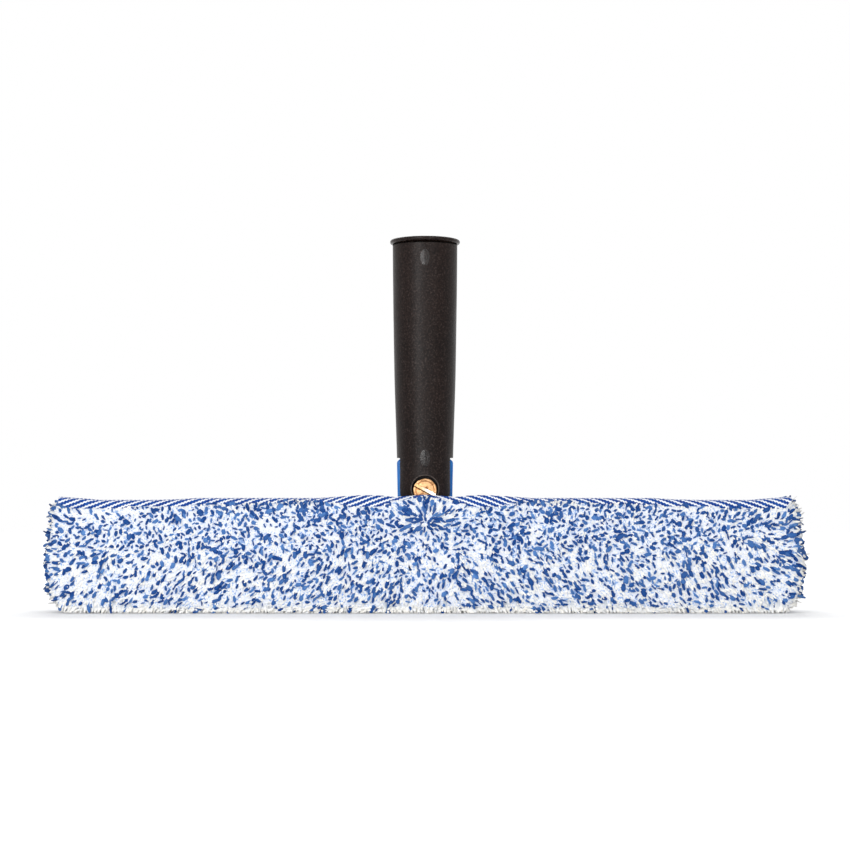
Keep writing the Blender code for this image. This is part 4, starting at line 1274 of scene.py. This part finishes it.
def make_pile_ground(grid, normals):
    """The foot of the pile: a skin a little way under the tips, open at the top where the bands lie."""
    points = grid[:, :-1] - normals[:, :-1] * GROUND_DEPTH
    stations, around = points.shape[:2]
    index = np.pad(np.arange(stations * around).reshape(stations, around), ((0, 0), (0, 1)), mode="wrap")
    quads = np.stack(cells(index), axis=1)
    x, y, z = np.moveaxis(grid[:, :-1].reshape(-1, 3)[quads], 2, 0)
    under_band = by_the_bands(x, y, z, margin=0.6)
    inside = (np.abs(x) < GROUND_END).any(axis=1)
    kept = quads[~(under_band.all(axis=1) & inside)]
    mesh = mesh_from_arrays("pile_ground", points.reshape(-1, 3) * MM, [kept])
    made = cover(linked("pile_ground", mesh), ground_paint())
    skin = made.modifiers.new("skin", "SOLIDIFY")
    skin.thickness = GROUND_THICK
    skin.offset = -1.0
    mesh.shade_smooth()
    place_on(made, "bar", "pile", "sleeve_pile")


# The nodes that keep their shape

def dress(mat, *names):
    for name in names:
        cover(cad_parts[name], mat)


# The stage

CAMERA_DISTANCE = 0.95
CAMERA_HEIGHT = 0.047
VIEW_WIDTH = 0.4106
VIEW_MIDDLE_Z = 0.0901


def looked_at(tree):
    """1 where the camera looks, also by way of a mirror or glass, and 0 for light on its way to a surface."""
    path = tree.nodes.new("ShaderNodeLightPath")
    seen = path.outputs["Is Camera Ray"]
    for kind in ("Is Glossy Ray", "Is Transmission Ray"):
        either = tree.nodes.new("ShaderNodeMath")
        either.operation = "MAXIMUM"
        tree.links.new(seen, either.inputs[0])
        tree.links.new(path.outputs[kind], either.inputs[1])
        seen = either.outputs[0]
    return seen


def stage_paint():
    """White floor that the camera and reflections see a little brighter, the more so farther out."""
    paint = Paint("stage_white", 0.9)
    paint.set("Base Color", (0.86, 0.86, 0.86, 1.0))
    glow = paint.node("ShaderNodeEmission")
    glow.inputs["Color"].default_value = (1.0, 1.0, 1.0, 1.0)
    near, far = 0.16, 1.1
    least, most = 0.13, 0.65
    lift = paint.between(paint.vector("LENGTH", paint.place()), near, far, least, most)
    paint.feed(glow.inputs["Strength"], paint.math("MULTIPLY", looked_at(paint.tree), lift))
    both = paint.node("ShaderNodeAddShader")
    paint.tree.links.new(paint.shader.outputs[0], both.inputs[0])
    paint.tree.links.new(glow.outputs[0], both.inputs[1])
    paint.tree.links.new(both.outputs[0], paint.tree.nodes["Material Output"].inputs["Surface"])
    return paint.mat


def make_stage():
    size = 4.0
    bm = bmesh.new()
    corners = [(-size, -size), (size, -size), (size, size), (-size, size)]
    bm.faces.new([bm.verts.new((x, y, 0.0)) for x, y in corners])
    cover(linked("floor", mesh_of("floor", bm)), stage_paint())


def area_light(name, place, target, size, power):
    lamp = bpy.data.lights.new(name, "AREA")
    lamp.shape = "RECTANGLE"
    lamp.size, lamp.size_y = size
    lamp.energy = power
    made = linked(name, lamp)
    made.location = place
    made.rotation_euler = (Vector(target) - Vector(place)).to_track_quat("-Z", "Y").to_euler()


def make_world():
    """Plain white light all round, which the camera and reflections see as white."""
    world = bpy.data.worlds.new("studio")
    bpy.context.scene.world = world
    world.use_nodes = True
    tree = world.node_tree
    background = tree.nodes["Background"]
    level = tree.nodes.new("ShaderNodeMapRange")
    tree.links.new(looked_at(tree), level.inputs["Value"])
    level.inputs["To Min"].default_value = 0.5
    level.inputs["To Max"].default_value = 1.0
    background.inputs["Color"].default_value = (1.0, 1.0, 1.0, 1.0)
    tree.links.new(level.outputs["Result"], background.inputs["Strength"])


def make_lights():
    target = (0.0, 0.0, 0.06)
    area_light("key", (-0.50, -1.00, 0.40), target, (0.5, 0.5), 3.8)
    area_light("strip", (-0.48, -1.16, 0.14), target, (0.16, 0.7), 4.8)
    area_light("fill", (0.50, -0.95, 0.75), target, (0.5, 0.5), 3.6)
    area_light("front", (0.10, -1.45, 0.05), (0.0, 0.0, 0.02), (1.2, 0.10), 3.6)
    area_light("top", (0.0, 0.80, 0.90), target, (1.0, 0.6), 8.5)


def make_camera():
    lens = bpy.data.cameras.new("camera")
    lens.sensor_width = 36.0
    lens.lens = lens.sensor_width * CAMERA_DISTANCE / VIEW_WIDTH
    lens.shift_y = (VIEW_MIDDLE_Z - CAMERA_HEIGHT) / VIEW_WIDTH
    lens.clip_start = 0.01
    made = linked("camera", lens)
    made.location = (0.0, -CAMERA_DISTANCE, CAMERA_HEIGHT)
    made.rotation_euler = (math.pi / 2.0, 0.0, 0.0)
    bpy.context.scene.camera = made


def main():
    bpy.context.scene.view_settings.view_transform = "Standard"
    make_camera()
    make_stage()
    make_world()
    make_lights()
    blue = blue_plastic()
    metal = steel()
    make_handle(black_plastic())
    make_counterbore_rim()
    make_screw(brass())
    make_mouldings(blue)
    weave = woven_band()
    make_band(-1, weave)
    make_band(1, weave)
    make_threads(thread_paint())
    make_pile()
    make_nut(metal)
    dress(blue, "end_cap_left", "end_cap_right")
    dress(brass(), "pivot_bush")
    dress(metal, "head_washer", "lock_washer")
    dress(nylon(), "friction_washer_front", "friction_washer_rear")
    dress(ground_cloth_paint(), "sleeve_backing")
    dress(tape_paint("hook_tape", (170, 174, 184), (214, 217, 224), 0.6 * MM), "hook_tape")
    dress(tape_paint("loop_tape", (214, 215, 222), (244, 244, 246), 0.4 * MM), "loop_tape")


main()
